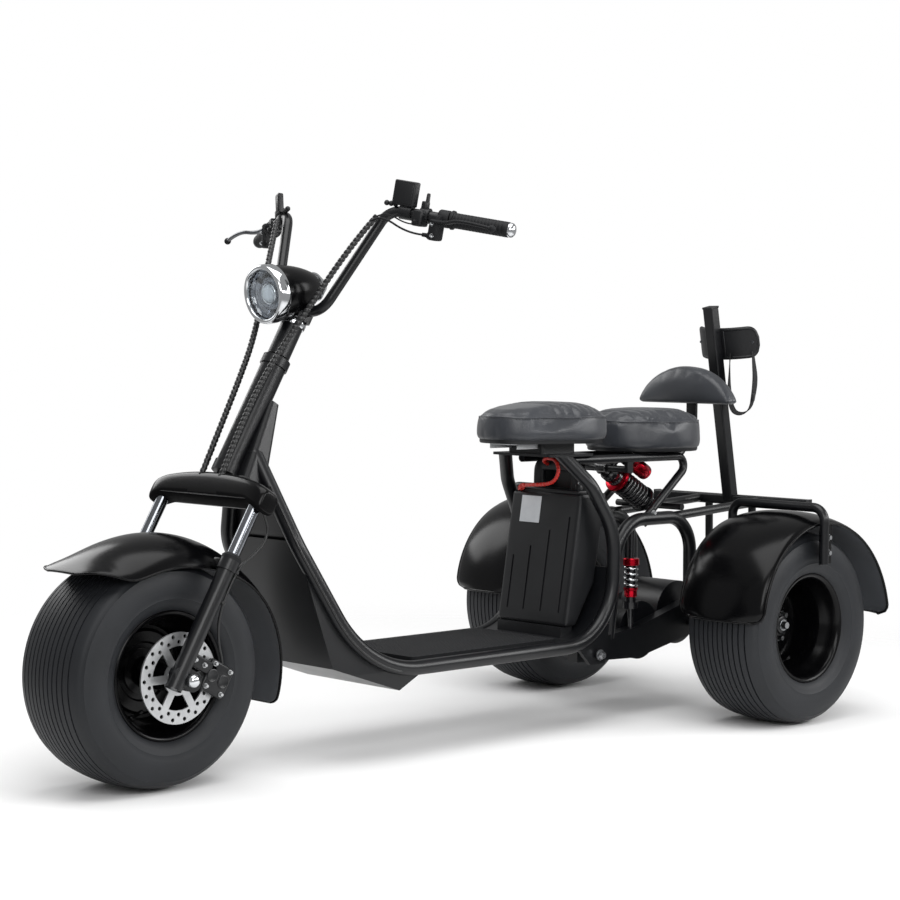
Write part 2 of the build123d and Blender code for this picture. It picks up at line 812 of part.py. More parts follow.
# Seats and the backrest pad: plain padded blocks
rear_seat_y = rear_y - 77
rail_radius = 10
rail_z = seat_plate_z - rail_radius
# columns: name, bottom z, thickness, nose y, nose radius, tail y, tail radius
seats = (
    ("front_seat", front_seat_z, 86, front_seat_y - 83, 92, front_seat_y + 40, 135),
    ("rear_seat", seat_plate_z, 100, rear_seat_y - 33, 120, rear_seat_y + 23, 130),
)
for seat_name, bottom_z, thickness, nose_y, nose_radius, tail_y, tail_radius in seats:
    with BuildPart() as seat:
        with BuildSketch(Plane.XY.offset(bottom_z)):
            with Locations((0, nose_y)):
                Circle(nose_radius)
            with Locations((0, tail_y)):
                Circle(tail_radius)
            make_hull()
        extrude(amount=thickness)
        fillet(seat.edges().group_by(Axis.Z)[-1], 24)
        fillet(seat.edges().group_by(Axis.Z)[0], 8)
    seat.part.label = seat_name
    export_step(seat.part, f"parts/{seat_name}.step")

# Seat rails: back from the seat plate, then folded down to the hoops
rail_x = 80
rail_back_y = rear_y + 34
with BuildPart() as seat_rails:
    for _, side in sides:
        with BuildLine():
            rail_run = FilletPolyline(
                (side * rail_x, seat_plate_front + 88, rail_z),
                (side * rail_x, rail_back_y, rail_z),
                (side * (rail_x + 8), rear_y - 160, hoop_top_z),
                radius=22,
            )
        with BuildSketch(Plane(origin=rail_run @ 0, z_dir=rail_run % 0)):
            Circle(rail_radius)
        sweep()
    add(rear_hoops.part, mode=Mode.SUBTRACT)
seat_rails.part.label = "seat_rails"
export_step(seat_rails.part, "parts/seat_rails.step")

# Backrest: a half-moon pad on a bent post from a bar between the rails
post_radius = 9
pad_half = 150
pad_foot_z = 742
pad_height = 98
pad_y = rear_y + 100
pad_thickness = 56
with BuildPart() as backrest_post:
    with BuildLine():
        post_run = FilletPolyline(
            (0, rear_y - 30, rail_z),
            (0, pad_y - 22, rail_z),
            (0, pad_y + pad_thickness / 2, pad_foot_z - 46),
            (0, pad_y + pad_thickness / 2, pad_foot_z + 40),
            radius=(20, 26),
        )
    with BuildSketch(Plane(origin=post_run @ 0, z_dir=post_run % 0)):
        Circle(post_radius)
    sweep()
    with BuildSketch(Plane.YZ.offset(-rail_x)):
        with Locations((rear_y - 30, rail_z)):
            Circle(post_radius)
    extrude(amount=2 * rail_x)
    add(seat_rails.part, mode=Mode.SUBTRACT)
backrest_post.part.label = "backrest_post"
export_step(backrest_post.part, "parts/backrest_post.step")

with BuildPart() as backrest:
    with BuildSketch(Plane.XZ.offset(-pad_y - pad_thickness / 2)):
        with BuildLine():
            moon = ThreePointArc(
                (-pad_half, pad_foot_z + 14),
                (0, pad_foot_z + pad_height),
                (pad_half, pad_foot_z + 14),
            )
            Polyline(moon @ 1, (pad_half - 14, pad_foot_z), (14 - pad_half, pad_foot_z), moon @ 0)
        make_face()
    extrude(amount=pad_thickness)
    add(backrest_post.part, mode=Mode.SUBTRACT)
backrest.part.label = "backrest"
export_step(backrest.part, "parts/backrest.step")

# Main shock: a coil-over between a bar on the rails and a bar on the hoops, with a side reservoir
eye_radius = 8
shock_top = Vector(0, rear_y - 212, rail_z - 27)
shock_foot = Vector(0, rear_y - 40, hoop_top_z + hoop_radius + eye_radius)
with BuildPart() as shock_bars:
    with BuildSketch(Plane.YZ.offset(-rail_x)):
        with Locations((shock_top.Y, shock_top.Z)):
            Circle(eye_radius)
    extrude(amount=2 * rail_x)
    with Locations(*[shock_top + Vector(side * rail_x, 0, 12) for _, side in sides]):
        Box(10, 20, 40)
    with BuildSketch(Plane.YZ.offset(-arm_x - 10)):
        with Locations((shock_foot.Y, shock_foot.Z)):
            Circle(eye_radius)
    extrude(amount=2 * (arm_x + 10))
    for piece in (seat_rails.part, rear_hoops.part):
        add(piece, mode=Mode.SUBTRACT)
shock_bars.part.label = "shock_bars"
export_step(shock_bars.part, "parts/shock_bars.step")

shock_line = shock_foot - shock_top
shock_length = shock_line.length
shock_plane = Plane(origin=shock_top, x_dir=(1, 0, 0), z_dir=shock_line)
spring_from = 62
spring_to = shock_length - 34
spring_turns = 8
wire_radius = 5.5
spring_radius = 26
body_turns = (  # columns: from, to, radius
    (0, shock_length, 7),
    (14, spring_from, 22),
    (shock_length - 34, shock_length - 26, 33),
)
with BuildPart() as shock_body:
    for start, stop, radius in body_turns:
        with BuildSketch(shock_plane.offset(start)):
            Circle(radius)
        extrude(amount=stop - start)
    with BuildSketch(shock_plane.offset(spring_from - 8)):
        Circle(33)
    extrude(amount=8)
    for place in (shock_top, shock_foot):
        with BuildSketch(Plane(origin=place, z_dir=(1, 0, 0))):
            Circle(eye_radius + 7)
        extrude(amount=14, both=True)
    add(shock_bars.part, mode=Mode.SUBTRACT)
shock_body.part.label = "shock_body"
export_step(shock_body.part, "parts/shock_body.step")

turn_pitch = (spring_to - spring_from) / spring_turns
with BuildPart() as shock_spring:
    with BuildSketch(Plane(origin=shock_top, x_dir=shock_line, z_dir=(1, 0, 0))):
        with Locations((spring_from, spring_radius - 3)):
            Rectangle(spring_to - spring_from, 6, align=(Align.MIN, Align.CENTER))
        for turn in range(spring_turns):
            with Locations((spring_from + (turn + 0.5) * turn_pitch, spring_radius)):
                Circle(wire_radius)
    revolve(axis=Axis(shock_top, shock_line))
shock_spring.part.label = "shock_spring"
export_step(shock_spring.part, "parts/shock_spring.step")

reservoir_radius = 17
reservoir_rise = 47.5
reservoir_aside = 16
reservoir_from = 44
reservoir_length = 86
bridge_length = 22
with BuildPart() as shock_reservoir:
    with BuildSketch(shock_plane.offset(reservoir_from)):
        with Locations((reservoir_aside, -reservoir_rise)):
            Circle(reservoir_radius)
    extrude(amount=reservoir_length)
    with BuildSketch(shock_plane.offset(spring_from - 8 - bridge_length)):
        with Locations((reservoir_aside / 2, -reservoir_rise / 2)):
            Rectangle(reservoir_radius + reservoir_aside, reservoir_rise)
    extrude(amount=bridge_length)
    add(shock_body.part, mode=Mode.SUBTRACT)
shock_reservoir.part.label = "shock_reservoir"
export_step(shock_reservoir.part, "parts/shock_reservoir.step")

# Small shocks between each arm and its hoop
small_shock_y = rear_y - 216
small_shock_rows = (  # columns: from z, to z, radius
    (axle_z - 30, hoop_top_z, 7),
    (258, 274, 19),
    (362, 378, 19),
    (274, 362, 13),
)
with BuildPart() as small_shocks:
    for start, stop, radius in small_shock_rows:
        with BuildSketch(Plane.XY.offset(start)):
            with Locations(*[(side * arm_x, small_shock_y) for _, side in sides]):
                Circle(radius)
        extrude(amount=stop - start)
    for piece in (swing_arms.part, rear_hoops.part):
        add(piece, mode=Mode.SUBTRACT)
    for trim_z in (hoop_top_z, axle_z - 30):
        with Locations((0, small_shock_y, trim_z)):
            Box(4 * arm_x, 40, 10, mode=Mode.SUBTRACT)
small_shocks.part.label = "small_shocks"
export_step(small_shocks.part, "parts/small_shocks.step")

# Rear fenders: a tight front quarter and a wider rear quarter that meet at the top
fender_half = fender_width / 2
fender_mid_x = rear_half_track + 3
fender_y = rear_y + 8
fender_top_z = axle_z + 21 + fender_front_radius
fender_crown = 18
fender_hoop_z = fender_top_z + 14
fender_hoop_y = rear_y - 10
fender_hoop_radius = 11
fender_quarters = (  # columns: radius, turning way, swept angle
    (fender_front_radius, 1, 88),
    (fender_rear_radius, -1, 83),
)
for side_name, side in sides:
    with BuildPart() as rear_fender:
        crown_spot = (side * fender_mid_x, fender_y, fender_top_z)
        for radius, way, sweep_angle in fender_quarters:
            with BuildSketch(Plane(origin=crown_spot, x_dir=(1, 0, 0), z_dir=(0, -1, 0))):
                with BuildLine():
                    top = ThreePointArc((-fender_half, -fender_crown), (0, 0), (fender_half, -fender_crown))
                    under = ThreePointArc(
                        (fender_half, -fender_crown - fender_sheet),
                        (0, -fender_sheet),
                        (-fender_half, -fender_crown - fender_sheet),
                    )
                    Line(top @ 1, under @ 0)
                    Line(under @ 1, top @ 0)
                make_face()
            revolve(axis=Axis((0, fender_y, fender_top_z - radius), (way, 0, 0)), revolution_arc=sweep_angle)
        with Locations((side * (fender_mid_x + fender_half - 3), rear_y + 8, fender_top_z - 120)):
            Box(6, 40, 102, align=(Align.CENTER, Align.CENTER, Align.MIN))
    rear_fender.part.label = f"rear_fender_{side_name}"
    export_step(rear_fender.part, f"parts/rear_fender_{side_name}.step")

inner_x = fender_mid_x - fender_half - fender_hoop_radius - 2
outer_x = fender_mid_x + fender_half + fender_hoop_radius
with BuildPart() as fender_hoops:
    for _, side in sides:
        with BuildLine():
            hoop_run = FilletPolyline(
                (side * inner_x, fender_hoop_y, axle_z),
                (side * inner_x, fender_hoop_y, fender_hoop_z),
                (side * outer_x, fender_hoop_y, fender_hoop_z),
                (side * outer_x, fender_hoop_y, fender_hoop_z - 130),
                radius=(30, 32),
            )
        with BuildSketch(Plane(origin=hoop_run @ 0, z_dir=hoop_run % 0)):
            Circle(fender_hoop_radius)
        sweep()
    add(rear_axle.part, mode=Mode.SUBTRACT)
fender_hoops.part.label = "fender_hoops"
export_step(fender_hoops.part, "parts/fender_hoops.step")

# Rack: a cross bar behind the fenders, on a stay from each hoop
rack_y = rear_y + 282
rack_z = 494
rack_half = 245
with BuildPart() as bag_rack:
    for _, side in sides:
        stay_from = Vector(side * arm_x, rear_y - 96, hoop_top_z)
        stay_line = Vector(side * arm_x, rack_y, rack_z) - stay_from
        with BuildSketch(Plane(origin=stay_from, z_dir=stay_line)):
            Circle(11)
        extrude(amount=stay_line.length)
    with BuildSketch(Plane.YZ.offset(-rack_half)):
        with Locations((rack_y, rack_z)):
            RectangleRounded(26, 26, 5)
    extrude(amount=2 * rack_half)
    add(rear_hoops.part, mode=Mode.SUBTRACT)
bag_rack.part.label = "bag_rack"
export_step(bag_rack.part, "parts/bag_rack.step")

# Bag mast: a square tube leaning forward, with an open cradle and a strap
mast_lean = 10.9
mast_size = 30
mast_length = 500
mast_plane = Plane(
    origin=(0, rack_y, rack_z), x_dir=(1, 0, 0), z_dir=(0, -sin(radians(mast_lean)), cos(radians(mast_lean)))
)
with BuildPart() as bag_mast:
    with BuildSketch(mast_plane):
        RectangleRounded(mast_size, mast_size, 4)
    extrude(amount=mast_length)
    add(bag_rack.part, mode=Mode.SUBTRACT)
    with Locations((0, rack_y, rack_z - 13)):
        Box(80, 80, 30, align=(Align.CENTER, Align.CENTER, Align.MAX), mode=Mode.SUBTRACT)
bag_mast.part.label = "bag_mast"
export_step(bag_mast.part, "parts/bag_mast.step")

cradle_foot = 368
cradle_height = 72
cradle_radius = 115
cradle_wall = 8
cradle_cut = 62
cradle_back = mast_size / 2 + cradle_radius
with BuildPart() as bag_cradle:
    with BuildSketch(mast_plane.offset(cradle_foot)):
        with Locations((0, cradle_back)):
            Circle(cradle_radius)
            Circle(cradle_radius - cradle_wall, mode=Mode.SUBTRACT)
        with Locations((0, cradle_cut)):
            Rectangle(300, 300, align=(Align.CENTER, Align.MIN), mode=Mode.SUBTRACT)
        with Locations((0, mast_size / 2)):
            Rectangle(44, 8, align=(Align.CENTER, Align.MIN))
    extrude(amount=cradle_height)
bag_cradle.part.label = "bag_cradle"
export_step(bag_cradle.part, "parts/bag_cradle.step")

# Strap: a loop that hangs from the cradle's left wall, along the wall's own chord
strap_outer_x = 80
strap_outer_back = 52
strap_slant = 0.58
strap_root = 12
strap_width = 25
strap_thickness = 3
strap_bend = 12
# columns: x, drop below the strap's root
strap_route = (
    (80, 0),
    (85, 94),
    (68, 157),
    (40, 157),
    (29, 88),
    (30, 0),
)


def strap_point(x, drop):
    back = strap_outer_back + strap_slant * (x - strap_outer_x)
    return (mast_plane * Pos(x, back, cradle_foot + strap_root)).position - Vector(0, 0, drop)


with BuildPart() as bag_strap:
    with BuildLine():
        strap_run = FilletPolyline(*[strap_point(x, drop) for x, drop in strap_route], radius=strap_bend)
    strap_across = Vector(-strap_slant, 1, 0).normalized()
    with BuildSketch(Plane(origin=strap_run @ 0, x_dir=strap_across, z_dir=strap_run % 0)):
        Rectangle(strap_width, strap_thickness)
    sweep()
    add(bag_cradle.part, mode=Mode.SUBTRACT)
bag_strap.part.label = "bag_strap"
export_step(bag_strap.part, "parts/bag_strap.step")

# Bag foot: a small shelf on two tubes that drop from the cross bar
foot_z = 262
foot_tube = 10
foot_x = 70
with BuildPart() as bag_foot:
    for _, side in sides:
        with BuildLine():
            foot_run = FilletPolyline(
                (side * foot_x, rack_y, rack_z),
                (side * foot_x, rack_y + 6, foot_z - foot_tube),
                (side * foot_x, rear_y + bag_foot_reach - 20, foot_z - foot_tube),
                radius=40,
            )
        with BuildSketch(Plane(origin=foot_run @ 0, z_dir=foot_run % 0)):
            Circle(foot_tube)
        sweep(path=foot_run)
    with BuildSketch(Plane.XY.offset(foot_z - 2)):
        with Locations((0, rear_y + bag_foot_reach)):
            Rectangle(240, 120, align=(Align.CENTER, Align.MAX))
    extrude(amount=6)
    add(bag_rack.part, mode=Mode.SUBTRACT)
    with Locations((0, rack_y, rack_z - 13)):
        Box(300, 60, 60, align=(Align.CENTER, Align.CENTER, Align.MIN), mode=Mode.SUBTRACT)
bag_foot.part.label = "bag_foot"
export_step(bag_foot.part, "parts/bag_foot.step")

# Battery lead: a red loop from the case's corner up to the seat plate
lead_radius = 4
lead_route = (
    (-92, 60, 541),
    (-74, 38, 549),
    (-36, 24, 556),
    (10, 24, 562),
    (40, 30, 574),
    (52, 42, 594),
    (40, 54, 612),
    (36, 60, 627),
)
with BuildPart() as battery_lead:
    with BuildLine():
        lead_run = FilletPolyline(*[(x, battery_y + y, z) for x, y, z in lead_route], radius=16)
    with BuildSketch(Plane(origin=lead_run @ 0, z_dir=lead_run % 0)):
        Circle(lead_radius)
    sweep()
    for piece in (battery.part, seat_plate.part):
        add(piece, mode=Mode.SUBTRACT)
battery_lead.part.label = "battery_lead"
export_step(battery_lead.part, "parts/battery_lead.step")
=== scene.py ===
import math
import bmesh
import bpy
from mathutils import Matrix, Vector


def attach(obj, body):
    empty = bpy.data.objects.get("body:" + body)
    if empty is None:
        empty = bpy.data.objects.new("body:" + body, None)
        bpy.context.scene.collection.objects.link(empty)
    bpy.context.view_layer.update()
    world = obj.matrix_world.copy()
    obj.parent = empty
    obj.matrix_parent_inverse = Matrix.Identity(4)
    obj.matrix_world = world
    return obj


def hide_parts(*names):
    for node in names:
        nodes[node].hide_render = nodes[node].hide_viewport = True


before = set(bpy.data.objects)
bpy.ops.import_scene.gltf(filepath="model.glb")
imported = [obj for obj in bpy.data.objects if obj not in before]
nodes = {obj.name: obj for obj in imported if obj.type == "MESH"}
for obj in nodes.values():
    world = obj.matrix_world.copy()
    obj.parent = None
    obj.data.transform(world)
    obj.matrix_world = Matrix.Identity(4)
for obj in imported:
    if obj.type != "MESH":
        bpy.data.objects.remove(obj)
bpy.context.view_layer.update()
scene = bpy.context.scene
print("trike: frame loaded")

place = {  # the part's main points, in metres
    "frontAxle": Vector((0, -0.9005, 0.229)),
    "rearAxle": Vector((0, 0.6795, 0.229)),
    "halfTrack": 0.370,
    "steerFoot": Vector((0, -0.91219, 0.23575)),
    "steerUp": Vector((0, 0.5, 0.8660254)),
    "steerBack": Vector((0, 0.8660254, -0.5)),
    "barCentre": Vector((0, -0.50119, 0.94762)),
}
xAxis = Vector((1, 0, 0))
yAxis = Vector((0, 1, 0))
zAxis = Vector((0, 0, 1))
forkAxes = (xAxis, place["steerBack"], place["steerUp"])
bothSides = (("Left", 1), ("Right", -1))


def forkSpot(x, back, up):  # a point in the fork's own axes
    return place["steerFoot"] + xAxis * x + place["steerBack"] * back + place["steerUp"] * up


def spoke(angle):  # unit vector in the YZ plane, turned up from +Y
    return Vector((0, math.cos(angle), math.sin(angle)))


def bulge(value, power):  # draws a sine or cosine out towards a squarer section
    return math.copysign(abs(value) ** power, value)


def linear(code):  # sRGB hex to the linear colour that the shaders take
    parts = [int(code[i:i + 2], 16) / 255 for i in (1, 3, 5)]
    return tuple(p / 12.92 if p <= 0.04045 else ((p + 0.055) / 1.055) ** 2.4 for p in parts) + (1.0,)


def addNode(tree, kind, values=None, links=None, **props):
    node = tree.nodes.new(kind)
    for key, value in props.items():
        setattr(node, key, value)
    for key, value in (values or {}).items():
        node.inputs[key].default_value = value
    for key, socket in (links or {}).items():
        tree.links.new(socket, node.inputs[key])
    return node


def makeFinish(name, look):
    material = bpy.data.materials.new(name)
    material.use_nodes = True
    tree = material.node_tree
    tree.nodes.clear()
    where = addNode(tree, "ShaderNodeTexCoord").outputs["Object"]
    cloud = addNode(tree, "ShaderNodeTexNoise", {"Scale": 1000 / look["cloudMm"], "Detail": 5.0},
                    {"Vector": where}).outputs["Fac"]
    dark, light = look["colours"]
    tint = addNode(tree, "ShaderNodeMix", {6: linear(dark), 7: linear(light)}, {0: cloud}, data_type="RGBA")
    low, high = look["rough"]
    rough = addNode(tree, "ShaderNodeMapRange", {"To Min": low, "To Max": high}, {"Value": cloud})
    size = 1000 / look["grainMm"]
    kind = look.get("grain", "noise")
    if kind == "cell":  # pebbled hide: cells with creases between them
        cell = addNode(tree, "ShaderNodeTexVoronoi", {"Scale": size}, {"Vector": where},
                       feature="DISTANCE_TO_EDGE").outputs["Distance"]
        height = addNode(tree, "ShaderNodeMapRange", {"From Max": 0.25}, {"Value": cell}).outputs["Result"]
    elif kind == "weave":  # two crossed thread sets
        warp, weft = [addNode(tree, "ShaderNodeTexWave", {"Scale": size / math.tau}, {"Vector": where},
                              bands_direction=way).outputs["Fac"] for way in "XZ"]
        height = addNode(tree, "ShaderNodeMath", None, {0: warp, 1: weft}, operation="MULTIPLY").outputs[0]
    else:
        height = addNode(tree, "ShaderNodeTexNoise", {"Scale": size, "Detail": 3.0},
                         {"Vector": where}).outputs["Fac"]
    bump = addNode(tree, "ShaderNodeBump",
                   {"Strength": look.get("bump", 0.5), "Distance": look["bumpMm"] / 1000},
                   {"Height": height})
    shell = addNode(tree, "ShaderNodeBsdfPrincipled", look.get("set"),
                    {"Base Color": tint.outputs[2], "Roughness": rough.outputs["Result"],
                     "Normal": bump.outputs["Normal"]})
    addNode(tree, "ShaderNodeOutputMaterial", None, {"Surface": shell.outputs["BSDF"]})
    return material


finishes = {
    # vulcanised rubber: matt black-grey with a dry bloom
    "tyreRubber": {"colours": ("#121417", "#202226"), "cloudMm": 70, "rough": (0.46, 0.62), "grainMm": 3,
                   "bumpMm": 0.25, "set": {"Specular IOR Level": 0.35}},
    # sprayed gloss enamel: deep black, wet shine, faint orange peel
    "glossEnamel": {"colours": ("#030304", "#060607"), "cloudMm": 180, "rough": (0.17, 0.24), "grainMm": 9,
                    "bumpMm": 0.05, "bump": 0.25, "set": {"Specular IOR Level": 0.17}},
    # matt black primer on the inside of the crown cover: hardly any shine
    "mattPrimer": {"colours": ("#050506", "#0a0a0b"), "cloudMm": 50, "rough": (0.80, 0.90), "grainMm": 3,
                   "bumpMm": 0.1, "set": {"Specular IOR Level": 0.08}},
    # powder coat on tube: satin black with a fine pebble
    "satinPowderCoat": {"colours": ("#08090b", "#0f1013"), "cloudMm": 120, "rough": (0.26, 0.38),
                        "grainMm": 2.5, "bumpMm": 0.06, "set": {"Specular IOR Level": 0.38}},
    # the bare inside of a sprayed sheet: dull dark grey
    "dullUndercoat": {"colours": ("#3a3c40", "#4b4e53"), "cloudMm": 60, "rough": (0.6, 0.75), "grainMm": 4,
                      "bumpMm": 0.2},
    # nickel-chrome plate: a mirror with faint swirls
    "chromePlate": {"colours": ("#c4c6c9", "#dcdee0"), "cloudMm": 40, "rough": (0.05, 0.12), "grainMm": 6,
                    "bumpMm": 0.02, "bump": 0.15, "set": {"Metallic": 1.0}},
    # hard chrome on the fork's inner tubes: a mirror whose colour is darkened as painted shade for the dim
    # surroundings it reflects
    "hardChromeWithPaintedShade": {"colours": ("#75787d", "#8f9297"), "cloudMm": 40, "rough": (0.10, 0.18), "grainMm": 6,
                   "bumpMm": 0.02, "bump": 0.15, "set": {"Metallic": 1.0}},
    # ground brake steel: pale grey with a fine ground lay
    "groundSteel": {"colours": ("#a9abad", "#c9cacb"), "cloudMm": 18, "rough": (0.32, 0.46), "grainMm": 1.6,
                    "bumpMm": 0.05, "set": {"Metallic": 0.85}},
    # machined aluminium: pale satin metal with fine tool marks
    "machinedAluminium": {"colours": ("#a6a8ab", "#c3c5c7"), "cloudMm": 25, "rough": (0.22, 0.36),
                          "grainMm": 1.5, "bumpMm": 0.03, "set": {"Metallic": 1.0}},
    # dyed anodised aluminium: clear wine red
    "redAnodised": {"colours": ("#a3061c", "#c00d27"), "cloudMm": 30, "rough": (0.18, 0.28), "grainMm": 1.5,
                    "bumpMm": 0.02, "set": {"Metallic": 0.9}},
    # upholstery leather: soft black-grey hide with a pebble grain drawn a little coarse so that it shows
    "pebbledLeather": {"colours": ("#202226", "#2f3238"), "cloudMm": 90, "rough": (0.30, 0.42),
                       "grain": "cell", "grainMm": 3.2, "bumpMm": 0.25, "bump": 0.3,
                       "set": {"Sheen Weight": 0.12}},
    # moulded ABS: black with a spark-eroded texture
    "mouldedAbs": {"colours": ("#0b0c0e", "#131417"), "cloudMm": 80, "rough": (0.36, 0.48), "grainMm": 1.8,
                   "bumpMm": 0.12, "set": {"Specular IOR Level": 0.36}},
    # moulded grip and mat rubber: dull soft black
    "softRubber": {"colours": ("#0a0b0d", "#131417"), "cloudMm": 40, "rough": (0.50, 0.66), "grainMm": 2.2,
                   "bumpMm": 0.15, "set": {"Specular IOR Level": 0.24}},
    # silicone lead jacket: warm signal red
    "redSilicone": {"colours": ("#a81712", "#c42a1e"), "cloudMm": 25, "rough": (0.35, 0.5), "grainMm": 3,
                    "bumpMm": 0.08},
    # woven polyester webbing: dry black cloth with threads of about 1.6 mm
    "wovenWebbing": {"colours": ("#0d0d0e", "#17171a"), "cloudMm": 30, "rough": (0.7, 0.85),
                     "grain": "weave", "grainMm": 1.6, "bumpMm": 0.3},
    # extruded polypropylene wrap on the wires: smooth black with a waxy shine
    "spiralWrap": {"colours": ("#0b0b0c", "#161718"), "cloudMm": 30, "rough": (0.3, 0.42), "grainMm": 2,
                   "bumpMm": 0.06},
    # lacquered spring steel: glossy black wire
    "blackSpring": {"colours": ("#0b0b0d", "#161619"), "cloudMm": 30, "rough": (0.14, 0.24), "grainMm": 2,
                    "bumpMm": 0.03, "set": {"Coat Weight": 0.4}},
    # coated paper label, left blank: flat pale grey
    "blankLabel": {"colours": ("#b4b7bb", "#c4c7ca"), "cloudMm": 12, "rough": (0.45, 0.6), "grainMm": 1.5,
                   "bumpMm": 0.03},
    # black-dyed anodised aluminium: dark grey metal with a soft shine
    "darkAnodised": {"colours": ("#47494c", "#5d5f63"), "cloudMm": 30, "rough": (0.24, 0.36),
                     "grainMm": 1.5, "bumpMm": 0.03, "set": {"Metallic": 0.9}},
    # smoked vacuum-metallised reflector behind the lamp glass
    "smokedReflector": {"colours": ("#5d6066", "#7d8087"), "cloudMm": 20,
                        "rough": (0.10, 0.18), "grainMm": 4, "bumpMm": 0.05, "set": {"Metallic": 1.0}},
    # milky projector eye: pale blue-white glass
    "projectorGlass": {"colours": ("#c9d3dd", "#e3e9ef"), "cloudMm": 14,
                       "rough": (0.04, 0.08), "grainMm": 5, "bumpMm": 0.01, "bump": 0.1,
                       "set": {"Coat Weight": 0.6}},
}
paint = {name: makeFinish(name, look) for name, look in finishes.items()}

lensGlass = bpy.data.materials.new("pressedLensGlass")  # clear pressed glass over the reflector
lensGlass.use_nodes = True
lensLook = {"Base Color": linear("#eef2f4"), "Roughness": 0.03, "Transmission Weight": 1.0, "IOR": 1.45}
for key, value in lensLook.items():
    lensGlass.node_tree.nodes["Principled BSDF"].inputs[key].default_value = value
lensGlass.diffuse_color = lensLook["Base Color"]
paint["pressedLensGlass"] = lensGlass
print("trike: finishes made")


def newPiece(name, verts, faces):
    mesh = bpy.data.meshes.new(name)
    mesh.from_pydata([tuple(v) for v in verts], [], faces)
    tidy = bmesh.new()
    tidy.from_mesh(mesh)
    bmesh.ops.remove_doubles(tidy, verts=tidy.verts, dist=1e-6)
    bmesh.ops.recalc_face_normals(tidy, faces=tidy.faces)
    tidy.to_mesh(mesh)
    tidy.free()
    mesh.polygons.foreach_set("use_smooth", [True] * len(mesh.polygons))
    piece = bpy.data.objects.new(name, mesh)
    scene.collection.objects.link(piece)
    return piece


def creaseAt(piece, degrees):  # keeps hard corners crisp on a smooth mesh
    tidy = bmesh.new()
    tidy.from_mesh(piece.data)
    for edge in tidy.edges:
        edge.smooth = len(edge.link_faces) == 2 and edge.calc_face_angle(0) < math.radians(degrees)
    tidy.to_mesh(piece.data)
    tidy.free()
    return piece


def fit(piece, body, slotName, *finishNames, stands=()):
    piece.data.materials.clear()
    for finishName in finishNames:
        piece.data.materials.append(paint[finishName])
    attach(piece, body)
    if stands:
        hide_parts(*stands)
    return piece


def put(name, shape, degrees, body, slotName, *finishNames, stands=()):  # a creased piece from a shape
    return fit(creaseAt(newPiece(name, *shape), degrees), body, slotName, *finishNames, stands=stands)


def sideways(axis):  # any unit vector across an axis
    other = zAxis if abs(axis.z) < 0.9 else xAxis
    return axis.cross(other).normalized()


def lathe(profile, origin, axis, steps, closed=True):
    axis = axis.normalized()
    out = sideways(axis)
    over = axis.cross(out)
    verts = []
    for step in range(steps):
        turn = math.tau * step / steps
        ray = out * math.cos(turn) + over * math.sin(turn)
        verts += [origin + axis * along + ray * radius for along, radius in profile]
    count = len(profile)
    rows = count if closed else count - 1
    faces = []
    for step in range(steps):
        near, far = step * count, (step + 1) % steps * count
        for row in range(rows):
            nextRow = (row + 1) % count
            faces.append((near + row, near + nextRow, far + nextRow, far + row))
    return verts, faces


def ringStack(rings, caps=True):  # a skin over rings of points, with a face at each end
    size = len(rings[0])
    verts = [p for ring in rings for p in ring]
    faces = []
    for i in range(len(rings) - 1):
        for j in range(size):
            k = (j + 1) % size
            faces.append((i * size + j, i * size + k, (i + 1) * size + k, (i + 1) * size + j))
    if caps:
        faces.append(tuple(range(size - 1, -1, -1)))
        faces.append(tuple(range((len(rings) - 1) * size, len(rings) * size)))
    return verts, faces


def sweep(path, ring, caps=True):
    # path: points; ring(i, t): section points (a, b) at point i, carried along without twist
    last = len(path) - 1
    tangents = [(path[min(i + 1, last)] - path[max(i - 1, 0)]).normalized() for i in range(last + 1)]
    side = sideways(tangents[0])
    rings = []
    for i, (point, way) in enumerate(zip(path, tangents)):
        side = (side - way * side.dot(way)).normalized()
        other = way.cross(side)
        rings.append([point + side * a + other * b for a, b in ring(i, i / last)])
    return ringStack(rings, caps)


def roundRing(radius, sides):
    turns = [math.tau * k / sides for k in range(sides)]
    return [(radius * math.cos(turn), radius * math.sin(turn)) for turn in turns]


def tube(path, radius, sides, caps=True):
    return sweep(path, lambda i, t: roundRing(radius, sides), caps)


def splinePath(points, count):  # points along a NURBS line with these control points
    curve = bpy.data.curves.new("route", "CURVE")
    curve.dimensions = "3D"
    curve.resolution_u = max(4, count // max(1, len(points) - 1))
    line = curve.splines.new("NURBS")
    line.points.add(len(points) - 1)
    for spot, point in zip(line.points, points):
        spot.co = (*point, 1)
    line.order_u = 3
    line.use_endpoint_u = True
    holder = bpy.data.objects.new("route", curve)
    scene.collection.objects.link(holder)
    graph = bpy.context.evaluated_depsgraph_get()
    mesh = bpy.data.meshes.new_from_object(holder.evaluated_get(graph))
    path = [v.co.copy() for v in mesh.vertices]
    bpy.data.objects.remove(holder)
    bpy.data.meshes.remove(mesh)
    return path


def joined(*parts):  # several (verts, faces) pairs as one
    verts, faces = [], []
    for partVerts, partFaces in parts:
        base = len(verts)
        verts += list(partVerts)
        faces += [tuple(base + index for index in face) for face in partFaces]
    return verts, faces


def bevelBlock(centre, size, axes=(xAxis, yAxis, zAxis), bevel=0.003, segments=3):
    block = bmesh.new()
    bmesh.ops.create_cube(block, size=1)
    for vert in block.verts:
        vert.co = Vector([vert.co[i] * size[i] for i in range(3)])
    bmesh.ops.bevel(block, geom=list(block.edges), offset=bevel, segments=segments,
                    affect="EDGES", profile=0.5)
    block.verts.ensure_lookup_table()
    verts = [centre + axes[0] * v.co.x + axes[1] * v.co.y + axes[2] * v.co.z for v in block.verts]
    faces = [tuple(v.index for v in face.verts) for face in block.faces]
    block.free()
    return verts, faces


